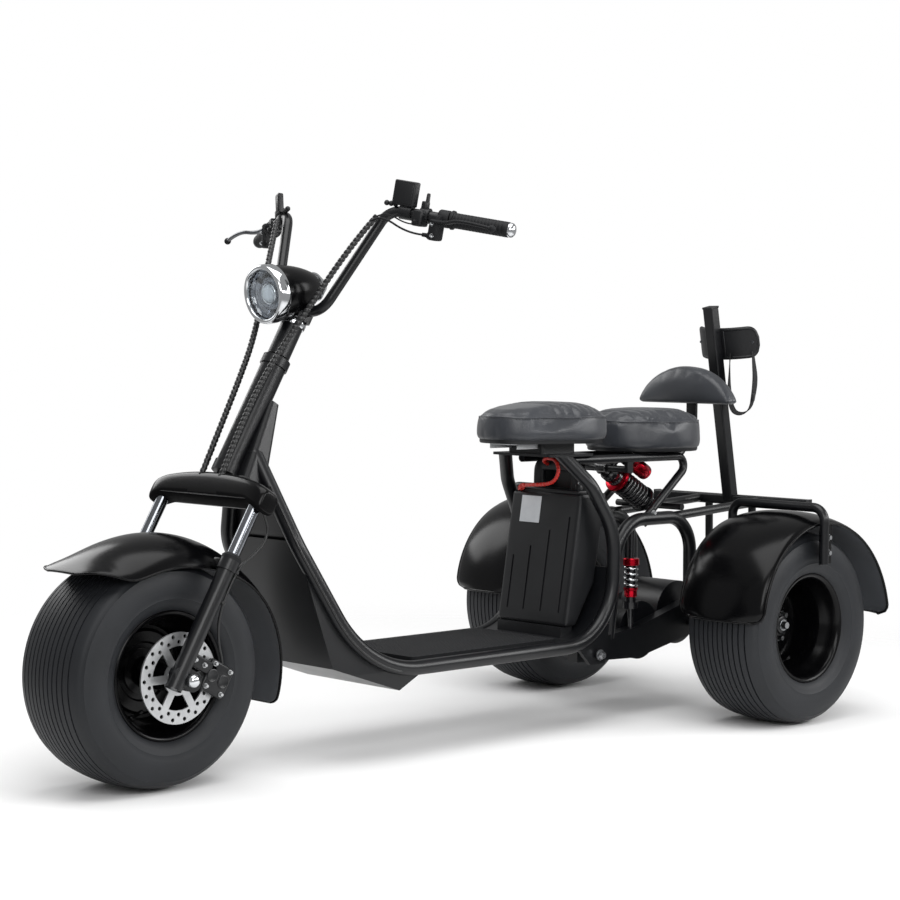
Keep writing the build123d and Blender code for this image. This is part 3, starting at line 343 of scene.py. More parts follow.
def gridEdge(grid):  # the outermost cells of a grid, once round
    return grid[0] + [row[-1] for row in grid[1:]] + grid[-1][-2::-1] + [row[0] for row in grid[-2:0:-1]]


def sheetShell(grid, inward, thickness):
    # closed sheet from a grid of outer points and the way inwards at each
    # returns verts, faces and the count of inner faces, which come last
    rows, cols = len(grid), len(grid[0])
    verts = [p for row in grid for p in row]
    verts += [p + n * thickness for row, way in zip(grid, inward) for p, n in zip(row, way)]
    base = rows * cols
    outer, inner = [], []
    for i in range(rows - 1):
        for j in range(cols - 1):
            a, b, c, d = i * cols + j, i * cols + j + 1, (i + 1) * cols + j + 1, (i + 1) * cols + j
            outer.append((a, b, c, d))
            inner.append((base + d, base + c, base + b, base + a))
    edge = gridEdge([list(range(i * cols, (i + 1) * cols)) for i in range(rows)])
    border = [(b, a, base + a, base + b) for a, b in zip(edge, edge[1:] + edge[:1])]
    return verts, outer + border + inner, len(inner)


def newTree(name, inputs):
    tree = bpy.data.node_groups.new(name, "GeometryNodeTree")
    tree.interface.new_socket("Geometry", in_out="INPUT", socket_type="NodeSocketGeometry")
    for label, kind in inputs:
        tree.interface.new_socket(label, in_out="INPUT", socket_type="NodeSocket" + kind)
    tree.interface.new_socket("Geometry", in_out="OUTPUT", socket_type="NodeSocketGeometry")
    return tree, tree.nodes.new("NodeGroupInput").outputs


def settle(piece, step):  # keeps a modifier's result as the piece's own mesh
    graph = bpy.context.evaluated_depsgraph_get()
    piece.data = bpy.data.meshes.new_from_object(piece.evaluated_get(graph))
    piece.modifiers.remove(step)


def growFrom(name, source, tree, values):  # runs a tree on a mesh and keeps the result as a plain mesh
    piece = bpy.data.objects.new(name, source)
    scene.collection.objects.link(piece)
    step = piece.modifiers.new("grow", "NODES")
    step.node_group = tree
    for item in tree.interface.items_tree:
        if item.in_out == "INPUT" and item.name in values:
            step[item.identifier] = values[item.name]
    settle(piece, step)
    return piece


def pointMesh(name, spots):  # spots: (point, aim) pairs
    mesh = bpy.data.meshes.new(name)
    mesh.from_pydata([tuple(p) for p, _ in spots], [], [])
    aim = mesh.attributes.new("aim", "FLOAT_VECTOR", "POINT")
    aim.data.foreach_set("vector", [value for _, way in spots for value in way])
    return mesh


def scaled(tree, socket, factor):  # a socket's value times a number
    return addNode(tree, "ShaderNodeMath", {1: factor}, {0: socket}, operation="MULTIPLY").outputs[0]


def aimed(tree):  # a turn that brings an instance's Z along its point's aim
    aim = addNode(tree, "GeometryNodeInputNamedAttribute", {"Name": "aim"}, data_type="FLOAT_VECTOR")
    return addNode(tree, "FunctionNodeAlignRotationToVector", None, {"Vector": aim.outputs["Attribute"]},
                   axis="Z").outputs[0]


def painted(tree, geometry, material):
    return addNode(tree, "GeometryNodeSetMaterial", None,
                   {"Geometry": geometry, "Material": material}).outputs[0]


def endTree(tree, geometry, material):  # real geometry in one material leaves the tree
    real = addNode(tree, "GeometryNodeRealizeInstances", None, {"Geometry": geometry}).outputs[0]
    addNode(tree, "NodeGroupOutput", None, {"Geometry": painted(tree, real, material)})


# screws: a flanged dome head with its hex socket shown as a black disc of painted shade, set on points along
# their aim
screw = {"flangeSides": 20, "headSides": 18, "socketSides": 6,
         "headFoot": 0.72, "headTop": 0.58, "socket": 0.34,  # shares of the flange's radius
         "flangeTall": 0.5, "socketTall": 1.02, "headLift": 0.5, "socketLift": 0.52}  # shares of the height
screwTree, screwIn = newTree("screwHeads", [("Radius", "Float"), ("Height", "Float"), ("Metal", "Material"),
                                            ("SocketShade", "Material")])
flange = addNode(screwTree, "GeometryNodeMeshCylinder", {"Vertices": screw["flangeSides"]},
                 {"Radius": screwIn["Radius"],
                  "Depth": scaled(screwTree, screwIn["Height"], screw["flangeTall"])})
head = addNode(screwTree, "GeometryNodeMeshCone", {"Vertices": screw["headSides"]},
               {"Radius Bottom": scaled(screwTree, screwIn["Radius"], screw["headFoot"]),
                "Radius Top": scaled(screwTree, screwIn["Radius"], screw["headTop"]),
                "Depth": screwIn["Height"]})
# the hex socket's hollow, drawn as a small cylinder that takes a dark finish: painted shade
socketShadeDisc = addNode(screwTree, "GeometryNodeMeshCylinder", {"Vertices": screw["socketSides"]},
                    {"Radius": scaled(screwTree, screwIn["Radius"], screw["socket"]),
                     "Depth": scaled(screwTree, screwIn["Height"], screw["socketTall"])})
lifted = []
for part, lift in ((head, screw["headLift"]), (socketShadeDisc, screw["socketLift"])):
    rise = addNode(screwTree, "ShaderNodeCombineXYZ", None,
                   {"Z": scaled(screwTree, screwIn["Height"], lift)})
    lifted.append(addNode(screwTree, "GeometryNodeTransform", None,
                          {"Geometry": part.outputs["Mesh"], "Translation": rise.outputs[0]}).outputs[0])
metalPart = addNode(screwTree, "GeometryNodeJoinGeometry")
screwTree.links.new(flange.outputs["Mesh"], metalPart.inputs[0])
screwTree.links.new(lifted[0], metalPart.inputs[0])
wholeScrew = addNode(screwTree, "GeometryNodeJoinGeometry")
screwTree.links.new(painted(screwTree, metalPart.outputs[0], screwIn["Metal"]), wholeScrew.inputs[0])
screwTree.links.new(painted(screwTree, lifted[1], screwIn["SocketShade"]), wholeScrew.inputs[0])
setOut = addNode(screwTree, "GeometryNodeInstanceOnPoints", None,
                 {"Points": screwIn["Geometry"], "Instance": wholeScrew.outputs[0],
                  "Rotation": aimed(screwTree)})
realScrews = addNode(screwTree, "GeometryNodeRealizeInstances", None, {"Geometry": setOut.outputs[0]})
addNode(screwTree, "NodeGroupOutput", None, {"Geometry": realScrews.outputs[0]})


def setScrews(name, body, spots, radius, height, metal="machinedAluminium"):
    # the socket disc gets black moulded plastic, painted shade for the hollow of the hex socket
    piece = growFrom(name, pointMesh(name, spots), screwTree,
                     {"Radius": radius, "Height": height, "Metal": paint[metal],
                      "SocketShade": paint["mouldedAbs"]})
    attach(piece, body)
    return piece


# coil springs: a wire along a spiral
coilTree, coilIn = newTree("coilSpring", [("Turns", "Float"), ("Radius", "Float"), ("Length", "Float"),
                                          ("Wire", "Float"), ("Metal", "Material")])
spiral = addNode(coilTree, "GeometryNodeCurveSpiral", {"Resolution": 28},
                 {"Rotations": coilIn["Turns"], "Start Radius": coilIn["Radius"],
                  "End Radius": coilIn["Radius"], "Height": coilIn["Length"]})
wireRing = addNode(coilTree, "GeometryNodeCurvePrimitiveCircle", {"Resolution": 12},
                   {"Radius": coilIn["Wire"]})
coilMesh = addNode(coilTree, "GeometryNodeCurveToMesh", {"Fill Caps": True},
                   {"Curve": spiral.outputs["Curve"], "Profile Curve": wireRing.outputs["Curve"]})
coilSmooth = addNode(coilTree, "GeometryNodeSetShadeSmooth", None, {"Geometry": coilMesh.outputs["Mesh"]})
endTree(coilTree, coilSmooth.outputs["Geometry"], coilIn["Metal"])


def setCoil(name, body, foot, top, turns, radius, wire, metal):
    axis = top - foot
    piece = growFrom(name, bpy.data.meshes.new(name), coilTree,
                     {"Turns": turns, "Radius": radius, "Length": axis.length, "Wire": wire,
                      "Metal": paint[metal]})
    side = sideways(axis.normalized())
    over = axis.normalized().cross(side)
    turned = Matrix((side, over, axis.normalized())).transposed().to_4x4()
    piece.data.transform(Matrix.Translation(foot) @ turned)
    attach(piece, body)
    return piece


print("trike: node trees ready")

# camera and light
view = {"lens": 84.95, "sensor": 36, "place": (3.41931, -3.38481, 0.86915),
        "right": (0.69746106, 0.71653706, 0.01107795), "up": (-0.04112822, 0.02459064, 0.99885123),
        "ahead": (-0.7154415, 0.69711545, -0.04662091)}
cameraData = bpy.data.cameras.new("photoCamera")
cameraData.lens = view["lens"]
cameraData.sensor_width = view["sensor"]
camera = bpy.data.objects.new("photoCamera", cameraData)
scene.collection.objects.link(camera)
cameraTurn = Matrix((view["right"], view["up"], [-v for v in view["ahead"]])).transposed().to_4x4()
camera.matrix_world = Matrix.Translation(view["place"]) @ cameraTurn
scene.camera = camera
scene.view_settings.view_transform = "Standard"

world = bpy.data.worlds.new("studio")
scene.world = world
world.use_nodes = True
sky = world.node_tree
sky.nodes.clear()
rays = addNode(sky, "ShaderNodeLightPath").outputs
seen = addNode(sky, "ShaderNodeMath", None, {0: rays["Is Camera Ray"], 1: rays["Is Transmission Ray"]},
               operation="MAXIMUM")
skyStrength = addNode(sky, "ShaderNodeMapRange", {"To Min": 0.40, "To Max": 1.0},
                      {"Value": seen.outputs[0]})
skyLight = addNode(sky, "ShaderNodeBackground", {"Color": (1, 1, 1, 1)},
                   {"Strength": skyStrength.outputs["Result"]})
addNode(sky, "ShaderNodeOutputWorld", None, {"Surface": skyLight.outputs[0]})

floorMesh = bpy.data.meshes.new("studioFloor")
floorMesh.from_pydata([(-30, -30, 0), (30, -30, 0), (30, 30, 0), (-30, 30, 0)], [], [(0, 1, 2, 3)])
floor = bpy.data.objects.new("studioFloor", floorMesh)
scene.collection.objects.link(floor)
floorPaint = bpy.data.materials.new("paleFloor")
floorPaint.use_nodes = True
ground = floorPaint.node_tree
groundShell = ground.nodes["Principled BSDF"]
groundShell.inputs["Base Color"].default_value = linear("#f2f2f2")
groundShell.inputs["Roughness"].default_value = 0.9
groundSpot = addNode(ground, "ShaderNodeTexCoord").outputs["Object"]
groundFar = addNode(ground, "ShaderNodeVectorMath", None, {0: groundSpot}, operation="LENGTH")
groundFade = addNode(ground, "ShaderNodeMapRange", {"From Min": 1.1, "From Max": 2.6},
                     {"Value": groundFar.outputs["Value"]}, interpolation_type="SMOOTHSTEP")
groundClear = addNode(ground, "ShaderNodeBsdfTransparent")
groundMix = addNode(ground, "ShaderNodeMixShader", None,
                    {0: groundFade.outputs["Result"], 1: groundShell.outputs["BSDF"],
                     2: groundClear.outputs["BSDF"]})
ground.links.new(groundMix.outputs[0], ground.nodes["Material Output"].inputs["Surface"])
floorMesh.materials.append(floorPaint)

lamps = {  # name: place, target, width, height, watts
    "overhead": ((0.6, -0.6, 3.6), (0, 0, 0.4), 3.0, 3.0, 95),
    "leftFront": ((3.2, -2.6, 2.2), (0, -0.2, 0.5), 2.0, 2.0, 60),
    "leftRear": ((2.6, 3.0, 2.0), (0, 0.4, 0.5), 1.8, 1.8, 55),
    "rightSide": ((-3.2, -0.5, 2.4), (0, 0, 0.5), 2.0, 2.0, 50),
    "leftStrip": ((2.6, 0.6, 1.3), (0, 0.1, 0.4), 2.6, 0.25, 22),
}
for name, (spot, target, width, height, watts) in lamps.items():
    light = bpy.data.lights.new(name, "AREA")
    light.shape = "RECTANGLE"
    light.size = width
    light.size_y = height
    light.energy = watts
    softBox = bpy.data.objects.new(name, light)
    scene.collection.objects.link(softBox)
    softBox.location = spot
    softBox.rotation_euler = (Vector(target) - Vector(spot)).to_track_quat("-Z", "Y").to_euler()
print("trike: camera and light set")

# finishes of the CAD nodes, also of those that a finer piece stands for
nodeFinish = {
    "satinPowderCoat": [
        "fork_sliders", "fork_crown", "handlebar", "head_tube", "neck_shell", "frame_tubes",
        "apron", "deck", "belly_box", "rear_axle", "pivot_mount", "swing_arms", "motor", "rear_hoops",
        "seat_plate", "seat_rails", "backrest_post", "fender_hoops", "bag_rack", "bag_mast", "bag_foot",
        "brake_caliper", "stem", "shock_bars"],
    "glossEnamel": ["crown_cover", "rear_fender_left", "rear_fender_right", "front_fender",
                    "headlamp_shell", "front_rim", "rear_left_rim", "rear_right_rim"],
    # the stanchions' chrome has its colour darkened: painted shade
    "hardChromeWithPaintedShade": ["fork_stanchions"],
    "chromePlate": ["headlamp_bezel"],
    "groundSteel": ["brake_rotor", "front_axle"],
    "machinedAluminium": ["grip_caps", "brake_levers"],
    "softRubber": ["grips", "deck_mat"],
    "mouldedAbs": ["dash_box", "switch_box", "battery_foot", "battery", "bag_cradle"],
    "spiralWrap": ["harnesses"],
    "redSilicone": ["battery_lead"],
    "pebbledLeather": ["front_seat", "rear_seat", "backrest"],
    "blackSpring": ["shock_spring", "shock_body", "small_shocks"],
    "redAnodised": ["shock_reservoir"],
    "wovenWebbing": ["bag_strap"],
    "tyreRubber": ["front_tyre", "rear_left_tyre", "rear_right_tyre"],
    "pressedLensGlass": ["headlamp_lens"],
}
for finishName, names in nodeFinish.items():
    for name in names:
        nodes[name].data.materials.clear()
        nodes[name].data.materials.append(paint[finishName])
print("trike: CAD nodes painted")


def smoothRows(rows, parts):  # rows of numbers, eased through with a Catmull-Rom curve
    eased = []
    for i in range(len(rows) - 1):
        spans = list(zip(rows[max(i - 1, 0)], rows[i], rows[i + 1], rows[min(i + 2, len(rows) - 1)]))
        for k in range(parts):
            t = k / parts
            eased.append([0.5 * (2 * b + (c - a) * t + (2 * a - 5 * b + 4 * c - d) * t * t
                                 + (3 * b - a - 3 * c + d) * t ** 3) for a, b, c, d in spans])
    eased.append(list(rows[-1]))
    return eased


def innerFinish(piece, start, count, index=1):  # gives a run of faces another of the piece's finishes
    for face in piece.data.polygons[start:start + count]:
        face.material_index = index


# tyres: ribbed tread, round shoulders and two moulded rings on each wall
tyre = {"crown": 0.229, "edge": (0.0853, 0.2200), "grooves": (0.014, 0.028, 0.042, 0.057, 0.073),
        "wide": 0.0036, "deep": 0.0048, "steps": 144,
        "wall": [(0.0905, 0.2172), (0.0962, 0.2125), (0.1005, 0.2065), (0.1015, 0.2062), (0.1024, 0.2030),
                 (0.1046, 0.1975), (0.1068, 0.1880), (0.1080, 0.1750), (0.1068, 0.1630), (0.1046, 0.1550),
                 (0.1050, 0.1536), (0.1040, 0.1520), (0.1020, 0.1450), (0.0968, 0.1345), (0.0905, 0.1292),
                 (0.0876, 0.1300), (0.0862, 0.1285), (0.0860, 0.1212)],
        "lining": [(0.0780, 0.1212), (0.0850, 0.1400), (0.0930, 0.1700), (0.0870, 0.1980),
                   (0.0700, 0.2110)]}


def tyreProfile():
    edgeX, edgeR = tyre["edge"]
    half, deep = tyre["wide"] / 2, tyre["deep"]

    def tread(x):
        return tyre["crown"] - (tyre["crown"] - edgeR) * (x / edgeX) ** 2

    right = [(0.0, tread(0) - deep), (half * 0.8, tread(0) - deep), (half, tread(half))]
    for spot in tyre["grooves"]:
        right += [(spot - half, tread(spot - half)), (spot - half * 0.8, tread(spot) - deep),
                  (spot + half * 0.8, tread(spot) - deep), (spot + half, tread(spot + half))]
    right += tyre["wall"]
    outer = [(-x, r) for x, r in reversed(right[1:])] + right
    return outer + tyre["lining"] + [(-x, r) for x, r in reversed(tyre["lining"])]


# rims: a rolled lip, a stepped barrel and a dished disc, with a hub through it
rim = {"steps": 128, "hubSteps": 48, "capSteps": 40, "rearInset": -0.028,
       "lip": [(0.0860, 0.1210), (0.0864, 0.1272), (0.0880, 0.1290), (0.0905, 0.1290), (0.0922, 0.1270),
               (0.0918, 0.1232), (0.0890, 0.1194), (0.0835, 0.1165), (0.0740, 0.1140), (0.0600, 0.1082),
               (0.0480, 0.1015), (0.0420, 0.0990)],
       "disc": [(0.034, 0.0978), (0.014, 0.0966), (0.0050, 0.0925), (0.0035, 0.0860), (0.0090, 0.0800),
                (0.0090, 0.0600), (0.0040, 0.0560), (0.0040, 0.0300), (-0.0040, 0.0300), (-0.0040, 0.0935),
                (-0.0100, 0.0968)],
       "frontHub": [(-0.062, 0.0085), (-0.062, 0.0265), (-0.057, 0.0315), (-0.010, 0.0315),
                    (-0.008, 0.0460), (0.008, 0.0460), (0.010, 0.0315), (0.096, 0.0285), (0.106, 0.0300),
                    (0.110, 0.0315), (0.119, 0.0315), (0.119, 0.0085)],
       "rearHub": [(-0.070, 0.0260), (-0.070, 0.0310), (-0.064, 0.0355), (-0.012, 0.0355), (-0.006, 0.0335),
                   (-0.002, 0.0300), (0.002, 0.0260)],
       "rearCap": [(0.002, 0.0), (0.002, 0.0262), (0.0045, 0.0275), (0.0075, 0.0262), (0.0085, 0.0215),
                   (0.0145, 0.0205), (0.0158, 0.0180), (0.0158, 0.0)]}
wheels = {  # body: tyre node, rim node, centre, outward way, disc offset, hub profile
    "front_wheel": ("front_tyre", "front_rim", place["frontAxle"], xAxis, 0.0, rim["frontHub"]),
    "rear_wheel_left": ("rear_left_tyre", "rear_left_rim", place["rearAxle"] + xAxis * place["halfTrack"],
                        xAxis, rim["rearInset"], rim["rearHub"]),
    "rear_wheel_right": ("rear_right_tyre", "rear_right_rim",
                         place["rearAxle"] - xAxis * place["halfTrack"], -xAxis, rim["rearInset"],
                         rim["rearHub"]),
}
valve = {"ray": Vector((0, -0.6, -0.8)), "radius": 0.102, "out": 0.050, "lean": (0.75, 0.66), "steps": 20,
         "profile": [(-0.004, 0.0052), (0.004, 0.0052), (0.006, 0.0036), (0.020, 0.0034), (0.021, 0.0042),
                     (0.029, 0.0040), (0.031, 0.0026), (0.031, 0.0), (-0.004, 0.0)]}
wheelBolts = {  # how far out, ring radius, count, first turn, head radius, head height
    "rotor": (0.1232, 0.0225, 5, 0.25, 0.0052, 0.003),
    "lugs": (0.0045, 0.047, 5, 0.3, 0.0095, 0.011),
    "axle": (0.0158, 0.0, 1, 0.0, 0.0135, 0.008),
}


def setWheelBolts(name, body, key, centre, outward, metal):
    out, ring, count, first, radius, height = wheelBolts[key]
    spots = [(centre + outward * out + spoke(math.tau * (k + first) / count) * ring, outward)
             for k in range(count)]
    setScrews(name, body, spots, radius, height, metal)


for body, (tyreNode, rimNode, centre, outward, disc, hub) in wheels.items():
    put(tyreNode + "Ribbed", lathe(tyreProfile(), centre, outward, tyre["steps"]), 40,
        body, "tyre", "tyreRubber", stands=(tyreNode,))
    barrel = [(-x, r) for x, r in reversed(rim["lip"])] + rim["lip"]
    barrel += [(disc + x, r) for x, r in rim["disc"]]
    valveFoot = centre + outward * valve["out"] + valve["ray"] * valve["radius"]
    valveWay = (outward * valve["lean"][0] - valve["ray"] * valve["lean"][1]).normalized()
    parts = [lathe(barrel, centre, outward, rim["steps"]), lathe(hub, centre, outward, rim["hubSteps"]),
             lathe(valve["profile"], valveFoot, valveWay, valve["steps"], closed=False)]
    put(rimNode + "Dished", joined(*parts), 38, body, "gloss_black", "glossEnamel", stands=(rimNode,))
    if body == "front_wheel":
        setWheelBolts("rotorScrews", body, "rotor", centre, outward, "groundSteel")
    else:
        put(rimNode + "Cap", lathe(rim["rearCap"], centre, outward, rim["capSteps"], closed=False), 38,
            body, "satin_black", "satinPowderCoat")
        setWheelBolts(rimNode + "LugNuts", body, "lugs", centre + outward * disc, outward,
                      "machinedAluminium")
        setWheelBolts(rimNode + "AxleNut", body, "axle", centre, outward, "machinedAluminium")
acorn = {"steps": 28, "profile": [(0.1640, 0.0), (0.1640, 0.0125), (0.1665, 0.0135), (0.1720, 0.0132),
                                  (0.1765, 0.0112), (0.1795, 0.0075), (0.1806, 0.0035), (0.1808, 0.0)]}
for sideName, side in bothSides:
    put("axleAcorn" + sideName,
        lathe(acorn["profile"], place["frontAxle"], xAxis * side, acorn["steps"], closed=False), 40,
        "fork", "chrome", "chromePlate")
print("trike: wheels made")

# front fender: a sheet round the wheel with side skirts, a beak and a rolled edge
frontFender = {"sheet": 0.003, "bead": 0.0026, "across": 37, "steps": 5,
               "lean": math.radians(78), "tuck": 6.0, "lug": (0.1215, -0.0095, 0.236),
               "lugSize": (0.026, 0.020, 0.022), "lugBevel": 0.003, "screw": (0.0062, 0.004),
               "stations": [  # degrees up from the rear, radius, half width, drop of the sides
                   (-17, 0.2835, 0.078, 0.004), (-16, 0.2840, 0.092, 0.006), (-13, 0.2842, 0.100, 0.008),
                   (0, 0.2842, 0.103, 0.010), (16, 0.2840, 0.106, 0.015), (32, 0.2835, 0.109, 0.024),
                   (46, 0.2825, 0.111, 0.037), (60, 0.2808, 0.1135, 0.051), (74, 0.2778, 0.115, 0.058),
                   (88, 0.2745, 0.116, 0.060), (101, 0.2720, 0.116, 0.060), (111, 0.2724, 0.1155, 0.059),
                   (117, 0.2742, 0.114, 0.054), (121.5, 0.2765, 0.109, 0.041),
                   (125.5, 0.2790, 0.098, 0.023), (128.8, 0.2812, 0.082, 0.010),
                   (131, 0.2826, 0.064, 0.004), (132.2, 0.2832, 0.044, 0.002)]}


def fenderShell(rows, spot, look):
    # rows: lists of cells that spot turns into a point and its inward way; the edge is a rolled bead
    grid = [[spot(*cell)[0] for cell in row] for row in rows]
    inward = [[spot(*cell)[1] for cell in row] for row in rows]
    edge = gridEdge(grid)
    return sheetShell(grid, inward, look["sheet"]), tube(edge + edge[:2], look["bead"], 8, caps=False)


def putFender(name, body, node, shell, *extras):  # the sheet's inner faces get the undercoat
    verts, faces, innerCount = shell
    piece = put(name, joined((verts, faces), *extras), 50, body, "gloss_black", "glossEnamel",
                "dullUndercoat", stands=(node,))
    innerFinish(piece, len(faces) - innerCount, innerCount)


def frontSpot(x, radius, angle):
    ray = spoke(angle)
    inward = ray * -1 - xAxis * x * frontFender["tuck"]
    return place["frontAxle"] + xAxis * x + ray * radius, inward.normalized()


rows = []
lean = frontFender["lean"]
for degrees, radius, half, drop in smoothRows(frontFender["stations"], frontFender["steps"]):
    row = []
    for k in range(frontFender["across"]):
        tilt = lean * (2 * k / (frontFender["across"] - 1) - 1)
        fall = drop * (1 - math.cos(tilt)) / (1 - math.cos(lean))
        row.append((half * math.sin(tilt) / math.sin(lean), radius - fall, math.radians(degrees)))
    rows.append(row)
shell, edge = fenderShell(rows, frontSpot, frontFender)
lugs, lugBolts = [], []
lugX, lugBack, lugUp = frontFender["lug"]
for side in (1, -1):
    lugs.append(bevelBlock(forkSpot(lugX * side, lugBack, lugUp), frontFender["lugSize"], forkAxes,
                           frontFender["lugBevel"]))
    lugBolts.append((forkSpot(lugX * side, 0.0, lugUp), place["steerBack"]))
putFender("frontFenderSheet", "fork", "front_fender", shell, edge, *lugs)
setScrews("fenderLugScrews", "fork", lugBolts, *frontFender["screw"])

# rear fenders: a tight front quarter and a wide rear quarter, rolled edges, a bracket plate with two bolts
rearFender = {"mid": 0.373, "half": 0.1225, "y": 0.6875, "top": 0.500, "frontRadius": 0.250,
              "rearRadius": 0.290, "frontSweep": math.radians(88), "rearSweep": math.radians(83),
              "crown": 0.019, "crownPower": 2.6, "curl": 0.06, "curlFrom": 0.93, "corner": 0.030,
              "sheet": 0.003, "bead": 0.0032, "across": 29, "steps": 46,
              "plate": (-0.002, 0.6915, 0.428), "plateSize": (0.005, 0.044, 0.094), "plateBevel": 0.0018,
              "bolt": (0.0028, 0.6975), "boltHeights": (0.444, 0.408), "boltSize": (0.0088, 0.006)}


def rearSpot(x, radial, angle, radius):
    ray = spoke(angle)
    centre = Vector((0, rearFender["y"], rearFender["top"] - radius))
    return centre + xAxis * x + ray * radial, ray * -1


arc = []  # angle, radius, run from the top
for k in range(rearFender["steps"] + 1):
    turn = rearFender["frontSweep"] * (1 - k / rearFender["steps"])
    arc.append((math.pi / 2 + turn, rearFender["frontRadius"], turn * rearFender["frontRadius"]))
for k in range(1, rearFender["steps"] + 1):
    turn = rearFender["rearSweep"] * k / rearFender["steps"]
    arc.append((math.pi / 2 - turn, rearFender["rearRadius"], turn * rearFender["rearRadius"]))
for sideName, side in bothSides:
    rows = []
    for k, (angle, radius, run) in enumerate(arc):
        toEnd = (arc[0] if k <= rearFender["steps"] else arc[-1])[2] - run
        corner = rearFender["corner"]
        cut = corner - math.sqrt(corner ** 2 - (corner - toEnd) ** 2) if toEnd < corner else 0.0
        row = []
        for j in range(rearFender["across"]):
            u = 2 * j / (rearFender["across"] - 1) - 1
            fall = rearFender["crown"] * abs(u) ** rearFender["crownPower"]
            fall += max(0.0, abs(u) - rearFender["curlFrom"]) * rearFender["curl"]
            x = side * rearFender["mid"] + (rearFender["half"] - cut) * u
            row.append((x, radius - fall, angle, radius))
        rows.append(row)
    shell, edge = fenderShell(rows, rearSpot, rearFender)
    inset, plateY, plateZ = rearFender["plate"]
    plateX = side * (rearFender["mid"] + rearFender["half"] + inset)
    plate = bevelBlock(Vector((plateX, plateY, plateZ)), rearFender["plateSize"],
                       bevel=rearFender["plateBevel"])
    putFender("rearFenderSheet" + sideName, "frame", "rear_fender_" + sideName.lower(), shell, edge, plate)
    out, boltY = rearFender["bolt"]
    bolts = [(Vector((plateX + side * out, boltY, z)), xAxis * side) for z in rearFender["boltHeights"]]
    setScrews("fenderBolts" + sideName, "frame", bolts, *rearFender["boltSize"], "chromePlate")
print("trike: fenders made")

# padded pieces: a closed shape is blown up a little as cloth, then its seams and channels are pressed in
softPads = {"voxel": 0.005, "pressure": 4.0, "frames": 20, "cap": 0.007, "held": 0.004, "rounds": 3}


def softPad(name, verts, faces):
    pad = newPiece(name, verts, faces)
    remesh = pad.modifiers.new("even", "REMESH")
    remesh.mode = "VOXEL"
    remesh.voxel_size = softPads["voxel"]
    settle(pad, remesh)
    start = [v.co.copy() for v in pad.data.vertices]
    low = min(p.z for p in start)
    held = pad.vertex_groups.new(name="held")
    held.add([i for i, p in enumerate(start) if p.z < low + softPads["held"]], 1.0, "REPLACE")
    cloth = pad.modifiers.new("swell", "CLOTH")
    cloth.settings.use_pressure = True
    cloth.settings.uniform_pressure_force = softPads["pressure"]
    cloth.settings.vertex_group_mass = "held"
    cloth.settings.effector_weights.gravity = 0
    for frameNumber in range(1, softPads["frames"] + 1):
        scene.frame_set(frameNumber)
    settle(pad, cloth)
    scene.frame_set(1)
    for vert, spot in zip(pad.data.vertices, start):
        move = vert.co - spot
        if move.length > softPads["cap"]:
            move *= softPads["cap"] / move.length
        vert.co = spot + move
    pad.data.polygons.foreach_set("use_smooth", [True] * len(pad.data.polygons))
    tidy = bmesh.new()
    tidy.from_mesh(pad.data)
    for _ in range(softPads["rounds"]):  # evens out the voxel steps
        bmesh.ops.smooth_vert(tidy, verts=tidy.verts, factor=0.5, use_axis_x=True, use_axis_y=True,
                              use_axis_z=True)
    tidy.to_mesh(pad.data)
    tidy.free()
    return pad


def pressIn(pad, channel):  # channel(point) gives how far and which way a point sinks
    for vert in pad.data.vertices:
        vert.co += channel(vert.co)


def finishPad(pad, node):
    step = pad.modifiers.new("soften", "SUBSURF")
    step.levels = step.render_levels = 1
    settle(pad, step)
    fit(pad, "frame", "black_leather", "pebbledLeather", stands=(node,))


def onPad(pad, points, lift):  # the same points brought to the pad's own skin, evened along the line
    spots = []
    for point in points:
        _, spot, way, _ = pad.closest_point_on_mesh(point)
        spots.append(spot + way * lift)
    count = len(spots)
    return [(spots[i - 1] + spots[i] * 2 + spots[(i + 1) % count]) / 4 for i in range(count)]


def eggOutline(noseY, noseRadius, tailY, tailRadius, count=96, fine=400):
    # convex outline round two circles on the centre line, evenly stepped; also its outward ways
    lean = math.asin((tailRadius - noseRadius) / (tailY - noseY))
    spots = []
    for k in range(fine):
        angle = -math.pi / 2 + math.tau * k / fine
        wayX, wayY = math.cos(angle), math.sin(angle)
        middle, radius = (tailY, tailRadius) if wayY > -math.sin(lean) else (noseY, noseRadius)
        spots.append((radius * wayX, middle + radius * wayY, wayX, wayY))
    runs = [0.0]
    for a, b in zip(spots, spots[1:] + spots[:1]):
        runs.append(runs[-1] + math.hypot(b[0] - a[0], b[1] - a[1]))
    even, index = [], 0
    for k in range(count):
        goal = runs[-1] * k / count
        while runs[index + 1] < goal:
            index += 1
        a, b = spots[index], spots[(index + 1) % fine]
        t = (goal - runs[index]) / max(1e-9, runs[index + 1] - runs[index])
        even.append(tuple(p + (q - p) * t for p, q in zip(a, b)))
    return even


# stitches: short thread capsules set along a line of points
stitchTree, stitchIn = newTree("stitches", [("Length", "Float"), ("Thread", "Float"), ("Yarn", "Material")])
stitchBody = addNode(stitchTree, "GeometryNodeMeshUVSphere", {"Segments": 6, "Rings": 5},
                     {"Radius": stitchIn["Thread"]})
stitchRatio = addNode(stitchTree, "ShaderNodeMath", None, {0: stitchIn["Length"], 1: stitchIn["Thread"]},
                      operation="DIVIDE")
stitchScale = addNode(stitchTree, "ShaderNodeCombineXYZ", {"X": 1.0, "Y": 1.0},
                      {"Z": scaled(stitchTree, stitchRatio.outputs[0], 0.5)})
stitchSet = addNode(stitchTree, "GeometryNodeInstanceOnPoints", None,
                    {"Points": stitchIn["Geometry"], "Instance": stitchBody.outputs["Mesh"],
                     "Rotation": aimed(stitchTree), "Scale": stitchScale.outputs[0]})
endTree(stitchTree, stitchSet.outputs[0], stitchIn["Yarn"])


